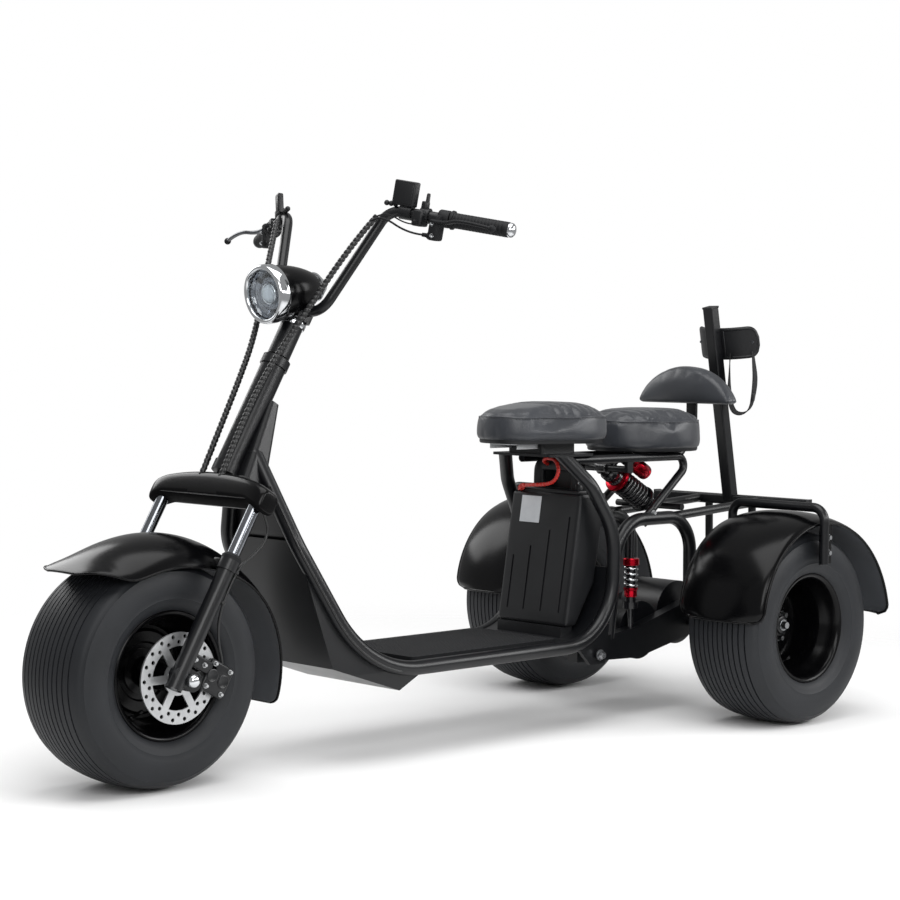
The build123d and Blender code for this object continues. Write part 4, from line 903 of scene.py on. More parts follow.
def setStitches(name, body, path, pitch=0.006, length=0.004, thread=0.0005):
    spots, run = [], 0.0
    for a, b in zip(path, path[1:]):
        run += (b - a).length
        if run >= pitch:
            spots.append((b, (b - a).normalized()))
            run = 0.0
    piece = growFrom(name, pointMesh(name, spots), stitchTree,
                     {"Length": length, "Thread": thread, "Yarn": paint["wovenWebbing"]})
    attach(piece, body)
    return piece


seats = {  # egg: nose y, nose radius, tail y, tail radius; crown: its height at the nose and at the tail
    "front_seat": {"egg": (0.1575, 0.094, 0.2825, 0.133), "foot": 0.664, "wall": 0.061,
                   "crown": (0.004, 0.019),
                   "channels": (0.214, 0.238, 0.262, 0.286, 0.310, 0.334, 0.358, 0.382)},
    "rear_seat": {"egg": (0.5695, 0.120, 0.6315, 0.132), "foot": 0.637, "wall": 0.073,
                  "crown": (0.012, 0.016),
                  "channels": (0.506, 0.532, 0.558, 0.584, 0.610, 0.636, 0.662, 0.688)},
}
sewing = {"foot": ((0.016, 0.0), (0.008, 0.003), (0.004, 0.012), (0.0045, 0.026)),  # inset, rise from it
          "brow": ((0.0060, -0.010), (0.0080, 0.0)),  # inset, rise from the wall's top
          "pan": ((0.016, -0.006), (0.013, -0.006), (0.011, -0.003), (0.011, 0.005)), "panCount": 72,
          "crownScales": (0.98, 0.94, 0.88, 0.78, 0.62, 0.42, 0.2), "crownInset": 0.009, "crownLift": 0.002,
          "crownPower": 4.2, "crownEase": 1.7, "seamWide": 0.0035, "seamDeep": 0.0022,
          "channelWide": 0.0032, "channelDeep": 0.0046, "channelBend": 0.026, "channelReach": 0.125,
          "channelFade": 8, "piping": 0.0019, "pipingUp": 0.0005, "pipingLift": 0.0004,
          "stitchDown": 0.006, "stitchLift": 0.0002, "stitchCount": 400, "fill": 0.75}


def insetRing(outline, inset, z):
    return [Vector((x - wayX * inset, y - wayY * inset, z)) for x, y, wayX, wayY in outline]


for node, seat in seats.items():
    outline = eggOutline(*seat["egg"])
    noseEnd, tailEnd = seat["egg"][0] - seat["egg"][1], seat["egg"][2] + seat["egg"][3]
    middleY = (noseEnd + tailEnd) / 2
    wallTop = seat["foot"] + seat["wall"]

    def crownAt(y):
        t = min(1.0, max(0.0, (y - noseEnd) / (tailEnd - noseEnd) * sewing["crownEase"]))
        return seat["crown"][0] + (seat["crown"][1] - seat["crown"][0]) * t * t * (3 - 2 * t)

    rings = [insetRing(outline, inset, seat["foot"] + up) for inset, up in sewing["foot"]]
    rings += [insetRing(outline, inset, wallTop + up) for inset, up in sewing["brow"]]
    inset = sewing["crownInset"]
    for scale in sewing["crownScales"]:
        ring = []
        for x, y, wayX, wayY in outline:
            spotY = middleY + (y - wayY * inset - middleY) * scale
            rise = crownAt(spotY) * (1 - scale ** sewing["crownPower"])
            ring.append(Vector(((x - wayX * inset) * scale, spotY, wallTop + sewing["crownLift"] + rise)))
        rings.append(ring)
    pad = softPad(node + "Pad", *ringStack(rings))

    def channel(point):
        if point.z < wallTop + sewing["crownLift"]:
            near = math.exp(-((point.z - wallTop) / sewing["seamWide"]) ** 2)
            return Vector((point.x, point.y - middleY, 0)).normalized() * -sewing["seamDeep"] * near
        edge = min(abs(point.x) / sewing["channelReach"], 1.0)
        depth = 0.0
        for spot in seat["channels"]:
            bent = spot - sewing["channelBend"] * edge ** 2
            depth = max(depth, math.exp(-((point.y - bent) / sewing["channelWide"]) ** 2))
        return Vector((0, 0, -sewing["channelDeep"] * depth * (1 - edge ** sewing["channelFade"])))

    pressIn(pad, channel)
    finishPad(pad, node)
    piping = onPad(pad, insetRing(outline, 0.0, wallTop + sewing["pipingUp"]), sewing["pipingLift"])
    piece = newPiece(node + "Piping", *tube(piping + piping[:2], sewing["piping"], 10, caps=False))
    fit(piece, "frame", "black_leather", "pebbledLeather")
    seam = insetRing(eggOutline(*seat["egg"], count=sewing["stitchCount"]), 0.0,
                     wallTop - sewing["stitchDown"])
    setStitches(node + "Stitches", "frame", onPad(pad, seam, sewing["stitchLift"]))
    base = eggOutline(*seat["egg"], count=sewing["panCount"])
    floorRings = [insetRing(base, inset, seat["foot"] + up) for inset, up in sewing["pan"]]
    put(node + "Pan", ringStack(floorRings), 40, "frame", "black_plastic", "mouldedAbs")

# backrest: a half-moon pad with a flat foot
moon = {"half": 0.150, "foot": 0.744, "height": 0.094, "y": 0.7795, "thick": 0.050,
        "wider": 1.06, "steps": 60, "lift": 0.003, "heart": 0.42,
        "footSpots": (-0.136, -0.09, -0.04, 0.0, 0.04, 0.09, 0.136),
        "rings": ((0.86, -0.5), (0.955, -0.44), (0.99, -0.30), (1.0, -0.1),  # scale, place in the thickness
                  (1.0, 0.15), (0.985, 0.34), (0.95, 0.44), (0.88, 0.5)),
        "seamBack": 0.004, "seamWide": 0.003, "seamDeep": 0.0016, "fill": 0.85}
outline = []
chordCut = math.sqrt(1 - 1 / moon["wider"] ** 2)
for k in range(moon["steps"] + 1):
    x = moon["half"] * math.cos(math.pi * k / moon["steps"])
    arch = (math.sqrt(1 - (x / moon["half"] / moon["wider"]) ** 2) - chordCut) / (1 - chordCut)
    outline.append((x, moon["foot"] + moon["lift"] + (moon["height"] - moon["lift"]) * arch))
outline += [(x, moon["foot"]) for x in moon["footSpots"]]
heart = moon["foot"] + moon["height"] * moon["heart"]
rings = []
for scale, shift in moon["rings"]:
    y = moon["y"] + moon["thick"] * shift
    rings.append([Vector((x * scale, y, heart + (z - heart) * scale)) for x, z in outline])
pad = softPad("backrestPad", *ringStack(rings))


def backSeam(point):
    near = math.exp(-((point.y - moon["y"] - moon["seamBack"]) / moon["seamWide"]) ** 2)
    return Vector((point.x, 0, point.z - heart)).normalized() * -moon["seamDeep"] * near


pressIn(pad, backSeam)
finishPad(pad, "backrest")
print("trike: pads sewn")

# headlamp: chrome bezel, reflector bowl with a projector eye, thin glass and a chrome tail
lampAxis = spoke(math.radians(8))
lamp = {"centre": place["barCentre"] + Vector((0, -0.062, 0.038)), "steps": 72, "innerSteps": 48,
        "eyeSteps": 40,
        "bezel": [(-0.0100, 0.0612), (-0.0135, 0.0620), (-0.0300, 0.0620), (-0.0350, 0.0605),
                  (-0.0378, 0.0568), (-0.0372, 0.0535), (-0.0340, 0.0512), (-0.0280, 0.0512),
                  (-0.0240, 0.0516), (-0.0100, 0.0530)],
        "bowl": [(-0.0235, 0.0514), (-0.0205, 0.0475), (-0.0175, 0.0410), (-0.0168, 0.0408),
                 (-0.0140, 0.0330), (-0.0132, 0.0328), (-0.0118, 0.0240), (-0.0110, 0.0), (-0.0101, 0.0),
                 (-0.0101, 0.0514)],
        "eyeRing": [(-0.0105, 0.0235), (-0.0190, 0.0225), (-0.0200, 0.0210), (-0.0190, 0.0195),
                    (-0.0105, 0.0195)],
        "eye": [(-0.0110, 0.0190), (-0.0190, 0.0185), (-0.0240, 0.0150), (-0.0270, 0.0095), (-0.0280, 0.0)],
        "glass": [(-0.0245, 0.0512), (-0.0275, 0.0400), (-0.0310, 0.0260), (-0.0328, 0.0120),
                  (-0.0334, 0.0), (-0.0314, 0.0), (-0.0308, 0.0120), (-0.0290, 0.0260), (-0.0255, 0.0400),
                  (-0.0225, 0.0512)],
        "tail": [(0.1020, 0.0), (0.1020, 0.0305), (0.1035, 0.0322), (0.1070, 0.0315), (0.1140, 0.0258),
                 (0.1220, 0.0195), (0.1290, 0.0145), (0.1330, 0.0090), (0.1345, 0.0)]}


def lampShape(key, steps, closed=True):
    return lathe(lamp[key], lamp["centre"], lampAxis, steps, closed)


put("lampBezelRing", lampShape("bezel", lamp["steps"]), 50, "fork", "chrome", "chromePlate",
    stands=("headlamp_bezel",))
put("lampBowl", lampShape("bowl", lamp["steps"]), 60, "fork", "chrome", "smokedReflector")
put("lampEyeRing", lampShape("eyeRing", lamp["innerSteps"]), 50, "fork", "chrome", "chromePlate")
eye = newPiece("lampEye", *lampShape("eye", lamp["eyeSteps"], closed=False))
fit(eye, "fork", "lamp_glass", "projectorGlass")
put("lampGlass", lampShape("glass", lamp["steps"]), 60, "fork", "lamp_glass", "pressedLensGlass",
    stands=("headlamp_lens",))
put("lampTail", lampShape("tail", lamp["innerSteps"], closed=False), 50, "fork", "chrome", "chromePlate")

# crown cover: a rounded bar over the fork crown that drops past the stanchions at its ends
crown = {"half": 0.183, "foot": 0.367, "endDrop": 0.026, "dropFrom": 0.72, "dropPower": 1.5, "top": 0.4285,
         "endTop": 0.4060, "back": 0.023, "front": -0.0365, "endPower": 9, "endFall": 0.010,
         "endRise": 0.020, "endSlim": 0.55, "powers": (0.55, 0.62), "steps": 48, "sides": 32,
         "underside": -0.35}
rings = []
for k in range(crown["steps"] + 1):
    u = math.sin(math.pi * (k / crown["steps"] - 0.5))
    square = (1 - abs(u) ** crown["endPower"]) ** 0.5 if abs(u) < 1 else 0.0
    reach = max(0.0, (abs(u) - crown["dropFrom"]) / (1 - crown["dropFrom"]))
    top = crown["top"] - (crown["top"] - crown["endTop"]) * u * u - crown["endFall"] * (1 - square)
    foot = crown["foot"] - crown["endDrop"] * reach ** crown["dropPower"] + crown["endRise"] * (1 - square)
    slim = crown["endSlim"] + (1 - crown["endSlim"]) * square
    front, back = crown["front"] * slim, crown["back"] * slim
    ring = []
    for a, b in roundRing(1.0, crown["sides"]):
        across, up = bulge(a, crown["powers"][0]), bulge(b, crown["powers"][1])
        ring.append(forkSpot(crown["half"] * u, (front + back) / 2 + (back - front) / 2 * across,
                             (top + foot) / 2 + (top - foot) / 2 * up))
    rings.append(ring)
piece = put("crownCap", ringStack(rings), 55, "fork", "gloss_black", "glossEnamel", "mattPrimer",
            stands=("crown_cover",))
for face in piece.data.polygons:
    face.material_index = 1 if face.normal.dot(place["steerUp"]) < crown["underside"] else 0

# wiper seals on the sliders, clamp screws on the stem
seal = {"spot": (0.151, -0.0095, 0.250), "steps": 36,
        "profile": [(-0.004, 0.0135), (-0.004, 0.0202), (0.003, 0.0206), (0.0045, 0.0186), (0.0065, 0.0182),
                    (0.0075, 0.0160), (0.0095, 0.0140), (0.0095, 0.0133)]}
for sideName, side in bothSides:
    x, back, up = seal["spot"]
    shape = lathe(seal["profile"], forkSpot(x * side, back, up), place["steerUp"], seal["steps"])
    put("wiperSeal" + sideName, shape, 45, "fork", "rubber", "softRubber")
stemClamp = {"screwX": 0.020, "screwBack": 0.013, "screwUp": 0.0185, "screw": (0.0055, 0.005),
             "cap": (0.0655, 0.0415, 0.0080), "capUp": 0.0150, "capBevel": 0.003, "steps": 48,
             "ring": [(0.785, 0.0235), (0.785, 0.0262), (0.788, 0.0275), (0.797, 0.0275), (0.800, 0.0262),
                      (0.800, 0.0235)]}
clampTop = place["barCentre"] + place["steerUp"] * stemClamp["screwUp"]
clampSpots = [(clampTop + xAxis * stemClamp["screwX"] * a + place["steerBack"] * stemClamp["screwBack"] * b,
               place["steerUp"]) for a in (-1, 1) for b in (-1, 1)]
setScrews("clampScrews", "fork", clampSpots, *stemClamp["screw"], "chromePlate")
clampCap = bevelBlock(place["barCentre"] + place["steerUp"] * stemClamp["capUp"],
                      stemClamp["cap"], forkAxes, stemClamp["capBevel"])
clampRing = lathe(stemClamp["ring"], place["steerFoot"], place["steerUp"], stemClamp["steps"])
put("clampTrim", joined(clampCap, clampRing), 45, "fork", "chrome", "chromePlate")

# brake caliper: two halves astride the rotor, a mounting plate, piston covers and bolts
caliper = {"blocks": [  # place in the fork's axes, size, bevel, segments
               ((0.1347, 0.088, 0.034), (0.0126, 0.060, 0.066), 0.006, 4),
               ((0.1065, 0.088, 0.034), (0.0150, 0.060, 0.066), 0.005, 3),
               ((0.1200, 0.114, 0.034), (0.0415, 0.008, 0.050), 0.002, 3),
               ((0.1350, 0.034, 0.044), (0.0120, 0.090, 0.026), 0.004, 4)],
           "cover": [(0.1400, 0.0), (0.1400, 0.0145), (0.1418, 0.0140), (0.1424, 0.0120), (0.1414, 0.0105),
                     (0.1414, 0.0)],
           "coverBacks": (0.073, 0.103), "coverUp": 0.034, "steps": 28,
           "bolts": ((0.067, 0.058), (0.109, 0.058), (0.067, 0.010), (0.109, 0.010), (0.018, 0.044),
                     (0.044, 0.044)),
           "boltX": 0.1408, "bolt": (0.0052, 0.0045)}
parts = [bevelBlock(forkSpot(*spot), size, forkAxes, bevel, segments)
         for spot, size, bevel, segments in caliper["blocks"]]
parts += [lathe(caliper["cover"], forkSpot(0, back, caliper["coverUp"]), xAxis,
                caliper["steps"], closed=False)
          for back in caliper["coverBacks"]]
put("caliperBody", joined(*parts), 40, "fork", "satin_black", "satinPowderCoat", stands=("brake_caliper",))
caliperBolts = [(forkSpot(caliper["boltX"], back, up), xAxis) for back, up in caliper["bolts"]]
setScrews("caliperBolts", "fork", caliperBolts, *caliper["bolt"], "groundSteel")
hose = {"radius": 0.0027, "sides": 12, "points": 150, "clip": (0.1525, 0.0135), "clipUps": (0.232, 0.165),
        "clipSize": (0.009, 0.010, 0.006), "clipBevel": 0.0015,
        "route": [(0.146, 0.006, 0.374), (0.148, 0.042, 0.352), (0.150, 0.052, 0.318),
                  (0.151, 0.034, 0.275), (0.152, 0.016, 0.248), (0.153, 0.013, 0.200),
                  (0.152, 0.018, 0.140), (0.142, 0.050, 0.098), (0.135, 0.086, 0.070),
                  (0.135, 0.088, 0.062)]}
hoseLine = splinePath([forkSpot(*spot) for spot in hose["route"]], hose["points"])
hoseClips = [bevelBlock(forkSpot(*hose["clip"], up), hose["clipSize"], forkAxes, hose["clipBevel"])
             for up in hose["clipUps"]]
put("brakeHose", joined(tube(hoseLine, hose["radius"], hose["sides"]), *hoseClips), 45,
    "fork", "rubber", "spiralWrap")

# grips, end caps, levers and cables
bar = {"end": (0.400, 0.220, 0.168), "bend": (0.162, 0.107, 0.213), "ball": (0.424, 0.145, 0.166),
       "meet": (0.156, 0.062, 0.188), "perch": 0.142, "ballRadius": 0.0078, "buttonRadius": 0.0058,
       "brakeCable": 0.0022, "switchWire": 0.0016, "cablePoints": 60, "cableSides": 10}
perchLook = {"clamp": [(-0.012, 0.0112), (-0.012, 0.0170), (-0.010, 0.0182), (0.010, 0.0182),
                       (0.012, 0.0170), (0.012, 0.0112)],
             "barrel": [(0.0, 0.0), (0.0, 0.0062), (0.009, 0.0062), (0.010, 0.0046), (0.020, 0.0042),
                        (0.021, 0.0)],
             "blocks": [((0, -0.020, -0.003), (0.020, 0.030, 0.020), 0.004),
                        ((0, -0.026, -0.026), (0.022, 0.022, 0.040), 0.005)],
             "barrelSpot": (0, -0.026, -0.038), "pivot": (0, -0.030, -0.006),
             "screws": ((0, -0.037, -0.012), (0, -0.0375, -0.036)), "screw": (0.0048, 0.003)}
boxes = {  # by side: the display's and the switch cluster's places along the bar, and their sizes
    1: {"name": "dashDisplay", "node": "dash_box", "reach": 0.228, "rise": 0.038, "wide": 0.048,
        "tall": 0.052, "pod": 0.186},
    -1: {"name": "switchDisplay", "node": "switch_box", "reach": 0.222, "rise": 0.034, "wide": 0.029,
         "tall": 0.045, "pod": 0.180},
}
grip = {"ribs": 15, "first": 0.008, "pitch": 0.0074,
        "start": [(0.0, 0.0112), (0.0, 0.0148), (0.0012, 0.0158)],
        "rib": [(0.0, 0.0160), (0.0050, 0.0160), (0.0056, 0.0156), (0.0068, 0.0156)],
        "collar": [(0.1205, 0.0160), (0.1215, 0.0195), (0.1260, 0.0200), (0.1270, 0.0190), (0.1270, 0.0112)]}
gripProfile = list(grip["start"])
for k in range(grip["ribs"]):
    gripProfile += [(grip["first"] + grip["pitch"] * k + run, radius) for run, radius in grip["rib"]]
gripProfile += grip["collar"]
capProfile = [(0.0, 0.0), (0.0, 0.0148), (-0.0025, 0.0153), (-0.0075, 0.0143), (-0.0112, 0.0105),
              (-0.0132, 0.0055), (-0.0138, 0.0)]


def barSpot(key, side):
    x, y, z = bar[key]
    return place["barCentre"] + Vector((x * side, y, z))


def ball(centre, radius, steps=20):
    profile = [(radius * math.sin(math.pi * (k / 10 - 0.5)), radius * math.cos(math.pi * (k / 10 - 0.5)))
               for k in range(11)]
    return lathe(profile, centre, xAxis, steps, closed=False)


def bladeRing(i, t):  # an oval that gets slimmer towards the ball
    tall, thick = 0.0084 - 0.0034 * t, 0.0048 - 0.0012 * t
    return [(tall * a, thick * b) for a, b in roundRing(1.0, 14)]


gripParts, capParts, perchParts, bladeParts, ballParts, cableParts, screwSpots = [], [], [], [], [], [], []
boxParts = {1: [], -1: []}
for side, box in boxes.items():
    tip = barSpot("end", side)
    inwardWay = (barSpot("bend", side) - tip).normalized()
    upWay = (zAxis - inwardWay * zAxis.dot(inwardWay)).normalized()
    backWay = upWay.cross(xAxis * -1).normalized()
    gripParts.append(lathe(gripProfile, tip, inwardWay, 36))
    capParts.append(lathe(capProfile, tip, inwardWay, 32, closed=False))
    perch = tip + inwardWay * bar["perch"]
    axes = (inwardWay, yAxis, upWay)
    barrelSpot = perch + Vector(perchLook["barrelSpot"])
    perchParts.append(lathe(perchLook["clamp"], perch, inwardWay, 32))
    perchParts += [bevelBlock(perch + Vector(spot), size, axes, bevel)
                   for spot, size, bevel in perchLook["blocks"]]
    perchParts.append(lathe(perchLook["barrel"], barrelSpot + inwardWay * 0.010, inwardWay, 18,
                            closed=False))
    screwSpots += [(perch + Vector(spot), yAxis * -1) for spot in perchLook["screws"]]
    pivot = perch + Vector(perchLook["pivot"])
    ballSpot = barSpot("ball", side)
    blade = splinePath([pivot + inwardWay * 0.004, pivot - inwardWay * 0.030 + Vector((0, -0.012, -0.002)),
                        pivot.lerp(ballSpot, 0.55) + Vector((0, -0.016, 0.010)), ballSpot], 60)
    bladeParts.append(sweep(blade, bladeRing))
    ballParts.append(ball(ballSpot, bar["ballRadius"]))
    # display or switch plate on its own clamp, standing over the bar
    seat = tip + inwardWay * box["reach"]
    wide, tall = box["wide"], box["tall"]
    plateAxes = (inwardWay, backWay, upWay)
    plateSpot = seat + backWay * 0.010 + upWay * box["rise"]
    boxParts[side] += [
        lathe([(-0.013, 0.0112), (-0.013, 0.0155), (0.013, 0.0155), (0.013, 0.0112)], seat, inwardWay, 28),
        bevelBlock(seat + upWay * 0.016 + backWay * 0.006, (0.018, 0.014, 0.020), plateAxes, 0.003),
        bevelBlock(plateSpot, (wide, 0.015, tall), plateAxes, 0.0032, 4),
        bevelBlock(plateSpot + backWay * 0.0078, (wide - 0.008, 0.0016, tall - 0.010),
                   plateAxes, 0.0006, 2),
    ]
    pod = tip + inwardWay * box["pod"]
    boxParts[side] += [
        lathe([(-0.010, 0.0112), (-0.010, 0.0160), (0.010, 0.0160), (0.010, 0.0112)], pod, inwardWay, 28),
        bevelBlock(pod + Vector((0, -0.014, -0.006)), (0.022, 0.024, 0.034), axes, 0.004),
        bevelBlock(pod + backWay * 0.004 + upWay * 0.020, (0.012, 0.012, 0.018), plateAxes, 0.003),
        lathe([(0.0, 0.0045), (0.016, 0.0040), (0.018, 0.0025), (0.018, 0.0)],
              pod + upWay * 0.028, upWay, 14, closed=False),
        lathe([(0.0, 0.0050), (0.004, 0.0050), (0.005, 0.0035), (0.005, 0.0)],
              pod + Vector((0, -0.026, -0.014)), yAxis * -1, 16, closed=False),
    ]
    buttons = tip + inwardWay * 0.262
    for step in (-0.010, 0.0, 0.010):
        spot = buttons + inwardWay * step + upWay * 0.013 + backWay * 0.004
        boxParts[side].append(ball(spot, bar["buttonRadius"], 16))
    # brake cable and switch wire, held at both ends
    meet = barSpot("meet", side)
    brakeLine = [barrelSpot + inwardWay * 0.028, perch + Vector((0, -0.030, -0.040)) + inwardWay * 0.060,
                 meet + Vector((0.040 * side, -0.010, 0.010)), meet]
    switchLine = [pod + Vector((0, -0.014, -0.020)) + inwardWay * 0.011,
                  pod + Vector((0, -0.012, -0.024)) + inwardWay * 0.034,
                  meet + Vector((0.030 * side, 0.010, 0.020)), meet + Vector((0, 0.004, 0.004))]
    for line, radius in ((brakeLine, bar["brakeCable"]), (switchLine, bar["switchWire"])):
        cableParts.append(tube(splinePath(line, bar["cablePoints"]), radius, bar["cableSides"]))
put("ribbedGrips", joined(*gripParts), 40, "fork", "rubber", "softRubber", stands=("grips",))
put("gripEnds", joined(*capParts), 50, "fork", "aluminium", "chromePlate", stands=("grip_caps",))
blades = put("leverBlades", joined(*bladeParts, *ballParts, *perchParts), 45, "fork", "aluminium",
             "darkAnodised", "softRubber", stands=("brake_levers",))
bladeFaces = sum(len(part[1]) for part in bladeParts)
innerFinish(blades, bladeFaces, len(blades.data.polygons) - bladeFaces)
innerFinish(blades, 0, len(bladeParts[0][1]))
for side, box in boxes.items():
    put(box["name"], joined(*boxParts[side]), 40, "fork", "black_plastic", "mouldedAbs",
        stands=(box["node"],))
fit(newPiece("barCables", *joined(*cableParts)), "fork", "rubber", "softRubber")
setScrews("perchScrews", "fork", screwSpots, *perchLook["screw"], "chromePlate")

# wire harnesses: wrapped in a spiral strip all the way down to the crown
harness = {"radius": 0.0053, "ridge": 0.0013, "pitch": 0.0105, "strip": 0.62, "sides": 14, "points": 520,
           "route": [(0.162, 0.073, 0.198), (0.146, 0.053, 0.170), (0.112, 0.006, 0.092),
                     (0.080, -0.038, 0.008), (0.052, -0.082, -0.068), (0.037, -0.130, -0.147),
                     (0.032, -0.178, -0.236), (0.032, -0.228, -0.337)]}
harnessParts = []
for side in (1, -1):
    line = splinePath([place["barCentre"] + Vector((x * side, y, z)) for x, y, z in harness["route"]],
                      harness["points"])
    runs = [0.0]
    for a, b in zip(line, line[1:]):
        runs.append(runs[-1] + (b - a).length)

    def wrapRing(i, t):
        section = []
        for k in range(harness["sides"]):
            turn = math.tau * k / harness["sides"]
            wave = (turn / math.tau - side * runs[i] / harness["pitch"]) % 1.0
            radius = harness["radius"] + (harness["ridge"] if wave < harness["strip"] else 0.0)
            section.append((radius * math.cos(turn), radius * math.sin(turn)))
        return section

    harnessParts.append(sweep(line, wrapRing))
fit(newPiece("wrappedHarness", *joined(*harnessParts)), "fork", "rubber", "spiralWrap",
    stands=("harnesses",))
print("trike: lamp and bar made")

# battery: a leaning case with four pressed grooves, a blank label, a carrying handle and a red lead
battery = {"half": 0.110, "bevel": 0.010, "grooveFoot": 0.262, "groove": (0.0048, 0.007),
           "side": [(0.2165, 0.233), (0.2655, 0.540), (0.3575, 0.540), (0.3165, 0.330), (0.2545, 0.233)],
           "grooves": [(-0.081, 0.388), (-0.029, 0.414), (0.026, 0.454), (0.084, 0.488)],
           "label": (-0.075, -0.012, 0.466, 0.529), "labelThick": 0.0012, "labelOut": 0.0003,
           "labelBevel": 0.0004, "grooveBevel": 0.0012, "frontRun": (0.049, 0.307)}  # y and z up the front


def frontOfCase(z):  # y of the leaning front face
    (y0, z0), (y1, z1) = battery["side"][0], battery["side"][1]
    return y0 + (y1 - y0) * (z - z0) / (z1 - z0)


def bevelSolid(name, verts, faces, offset, segments):
    piece = newPiece(name, verts, faces)
    tidy = bmesh.new()
    tidy.from_mesh(piece.data)
    bmesh.ops.bevel(tidy, geom=list(tidy.edges), offset=offset, segments=segments,
                    affect="EDGES", profile=0.6)
    tidy.to_mesh(piece.data)
    tidy.free()
    piece.data.polygons.foreach_set("use_smooth", [True] * len(piece.data.polygons))
    return piece


def carve(piece, cutter):
    step = piece.modifiers.new("carve", "BOOLEAN")
    step.operation = "DIFFERENCE"
    step.solver = "EXACT"
    step.object = cutter
    settle(piece, step)
    bpy.data.objects.remove(cutter)


sideCount = len(battery["side"])
caseVerts = [Vector((x, y, z)) for x in (-battery["half"], battery["half"]) for y, z in battery["side"]]
caseFaces = [tuple(range(sideCount)), tuple(range(2 * sideCount - 1, sideCount - 1, -1))]
caseFaces += [(k, k + sideCount, (k + 1) % sideCount + sideCount, (k + 1) % sideCount)
              for k in range(sideCount)]
case = bevelSolid("batteryCase", caseVerts, caseFaces, battery["bevel"], 4)
runY, runZ = battery["frontRun"]
frontSlope = Vector((0, runY, runZ)).normalized()
frontOut = Vector((0, -runZ, runY)).normalized()
caseAxes = (xAxis, frontOut * -1, frontSlope)
slots = []
for x, top in battery["grooves"]:
    mid = (top + battery["grooveFoot"]) / 2
    slots.append(bevelBlock(Vector((x, frontOfCase(mid), mid)),
                            (*battery["groove"], top - battery["grooveFoot"]), caseAxes,
                            battery["grooveBevel"], 2))
carve(case, newPiece("grooveCutter", *joined(*slots)))
fit(creaseAt(case, 30), "frame", "black_plastic", "mouldedAbs", stands=("battery",))
left, right, low, high = battery["label"]
mid = (low + high) / 2
labelSpot = Vector(((left + right) / 2, frontOfCase(mid), mid)) + frontOut * battery["labelOut"]
labelPlate = bevelBlock(labelSpot, (right - left, battery["labelThick"], high - low), caseAxes,
                        battery["labelBevel"], 2)
put("blankPlate", labelPlate, 40, "frame", "black_plastic", "blankLabel")
handle = {"thick": 0.0085, "swell": 0.0015, "wide": 0.0155, "power": 0.6, "sides": 20, "points": 90,
          "route": [(-0.060, 0.3075, 0.534), (-0.060, 0.3065, 0.570), (-0.058, 0.3060, 0.602),
                    (-0.030, 0.3060, 0.6035), (0.030, 0.3060, 0.6035), (0.058, 0.3060, 0.602),
                    (0.060, 0.3065, 0.570), (0.060, 0.3075, 0.534)]}


def handleRing(i, t):
    thick = handle["thick"] + handle["swell"] * math.cos(math.tau * t)
    return [(bulge(a, handle["power"]) * thick, bulge(b, handle["power"]) * handle["wide"])
            for a, b in roundRing(1.0, handle["sides"])]


put("batteryHandle", sweep(splinePath(handle["route"], handle["points"]), handleRing), 50,
    "frame", "black_plastic", "mouldedAbs")
lock = {"cap": Vector((0, 0.3095, 0.5415)), "capSize": (0.196, 0.078, 0.012), "capBevel": 0.004,
        "post": [(0.0, 0.009), (0.012, 0.009), (0.014, 0.0075), (0.014, 0.0)], "postSteps": 24,
        "foot": Vector((0.072, 0.300, 0.546)), "blade": Vector((0.072, 0.300, 0.566)),
        "bladeSize": (0.0022, 0.006, 0.012), "bladeBevel": 0.0006, "bow": Vector((0.080, 0.297, 0.573)),
        "bowSize": (0.026, 0.0024, 0.011), "bowBevel": 0.0009,
        "bowAxes": (Vector((0.95, -0.3, 0.05)), Vector((0.3, 0.95, 0)), zAxis)}
capBlock = bevelBlock(lock["cap"], lock["capSize"], bevel=lock["capBevel"])
lockPost = lathe(lock["post"], lock["foot"], zAxis, lock["postSteps"], closed=False)
put("batteryCap", joined(capBlock, lockPost), 40, "frame", "black_plastic", "mouldedAbs")
keyBlade = bevelBlock(lock["blade"], lock["bladeSize"], bevel=lock["bladeBevel"])
keyBow = bevelBlock(lock["bow"], lock["bowSize"], lock["bowAxes"], lock["bowBevel"])
put("batteryKey", joined(keyBlade, keyBow), 40, "frame", "steel", "machinedAluminium")
lead = {"radius": 0.0044, "wave": 0.0004, "waveStep": 1.1, "sides": 14, "points": 180,
        "route": [(-0.092, 0.2765, 0.541), (-0.074, 0.2545, 0.549), (-0.036, 0.2405, 0.556),
                  (0.014, 0.2405, 0.558), (0.048, 0.2405, 0.566), (0.062, 0.2425, 0.592),
                  (0.046, 0.2485, 0.619), (0.010, 0.2545, 0.621), (-0.014, 0.2665, 0.612),
                  (-0.024, 0.2945, 0.604)],
        "plugAt": 10, "plugAim": (4, 20), "plug": (0.030, 0.014, 0.012), "plugBevel": 0.003,
        "rib": (0.0026, 0.0118, 0.0108), "ribs": 4, "ribFrom": 0.018, "ribStep": 0.0042, "ribLoss": 0.0008,
        "ribBevel": 0.001}
leadLine = splinePath(lead["route"], lead["points"])
plug = leadLine[lead["plugAt"]]
aimFrom, aimTo = lead["plugAim"]
plugWay = (leadLine[aimTo] - leadLine[aimFrom]).normalized()
plugSide = sideways(plugWay)
plugAxes = (plugWay, plugSide, plugWay.cross(plugSide))
plugParts = [bevelBlock(plug, lead["plug"], plugAxes, lead["plugBevel"])]
ribThick, ribWide, ribTall = lead["rib"]
for k in range(lead["ribs"]):  # strain-relief ribs that get smaller along the lead
    loss = lead["ribLoss"] * k
    plugParts.append(bevelBlock(plug + plugWay * (lead["ribFrom"] + lead["ribStep"] * k),
                                (ribThick, ribWide - loss, ribTall - loss), plugAxes, lead["ribBevel"], 2))


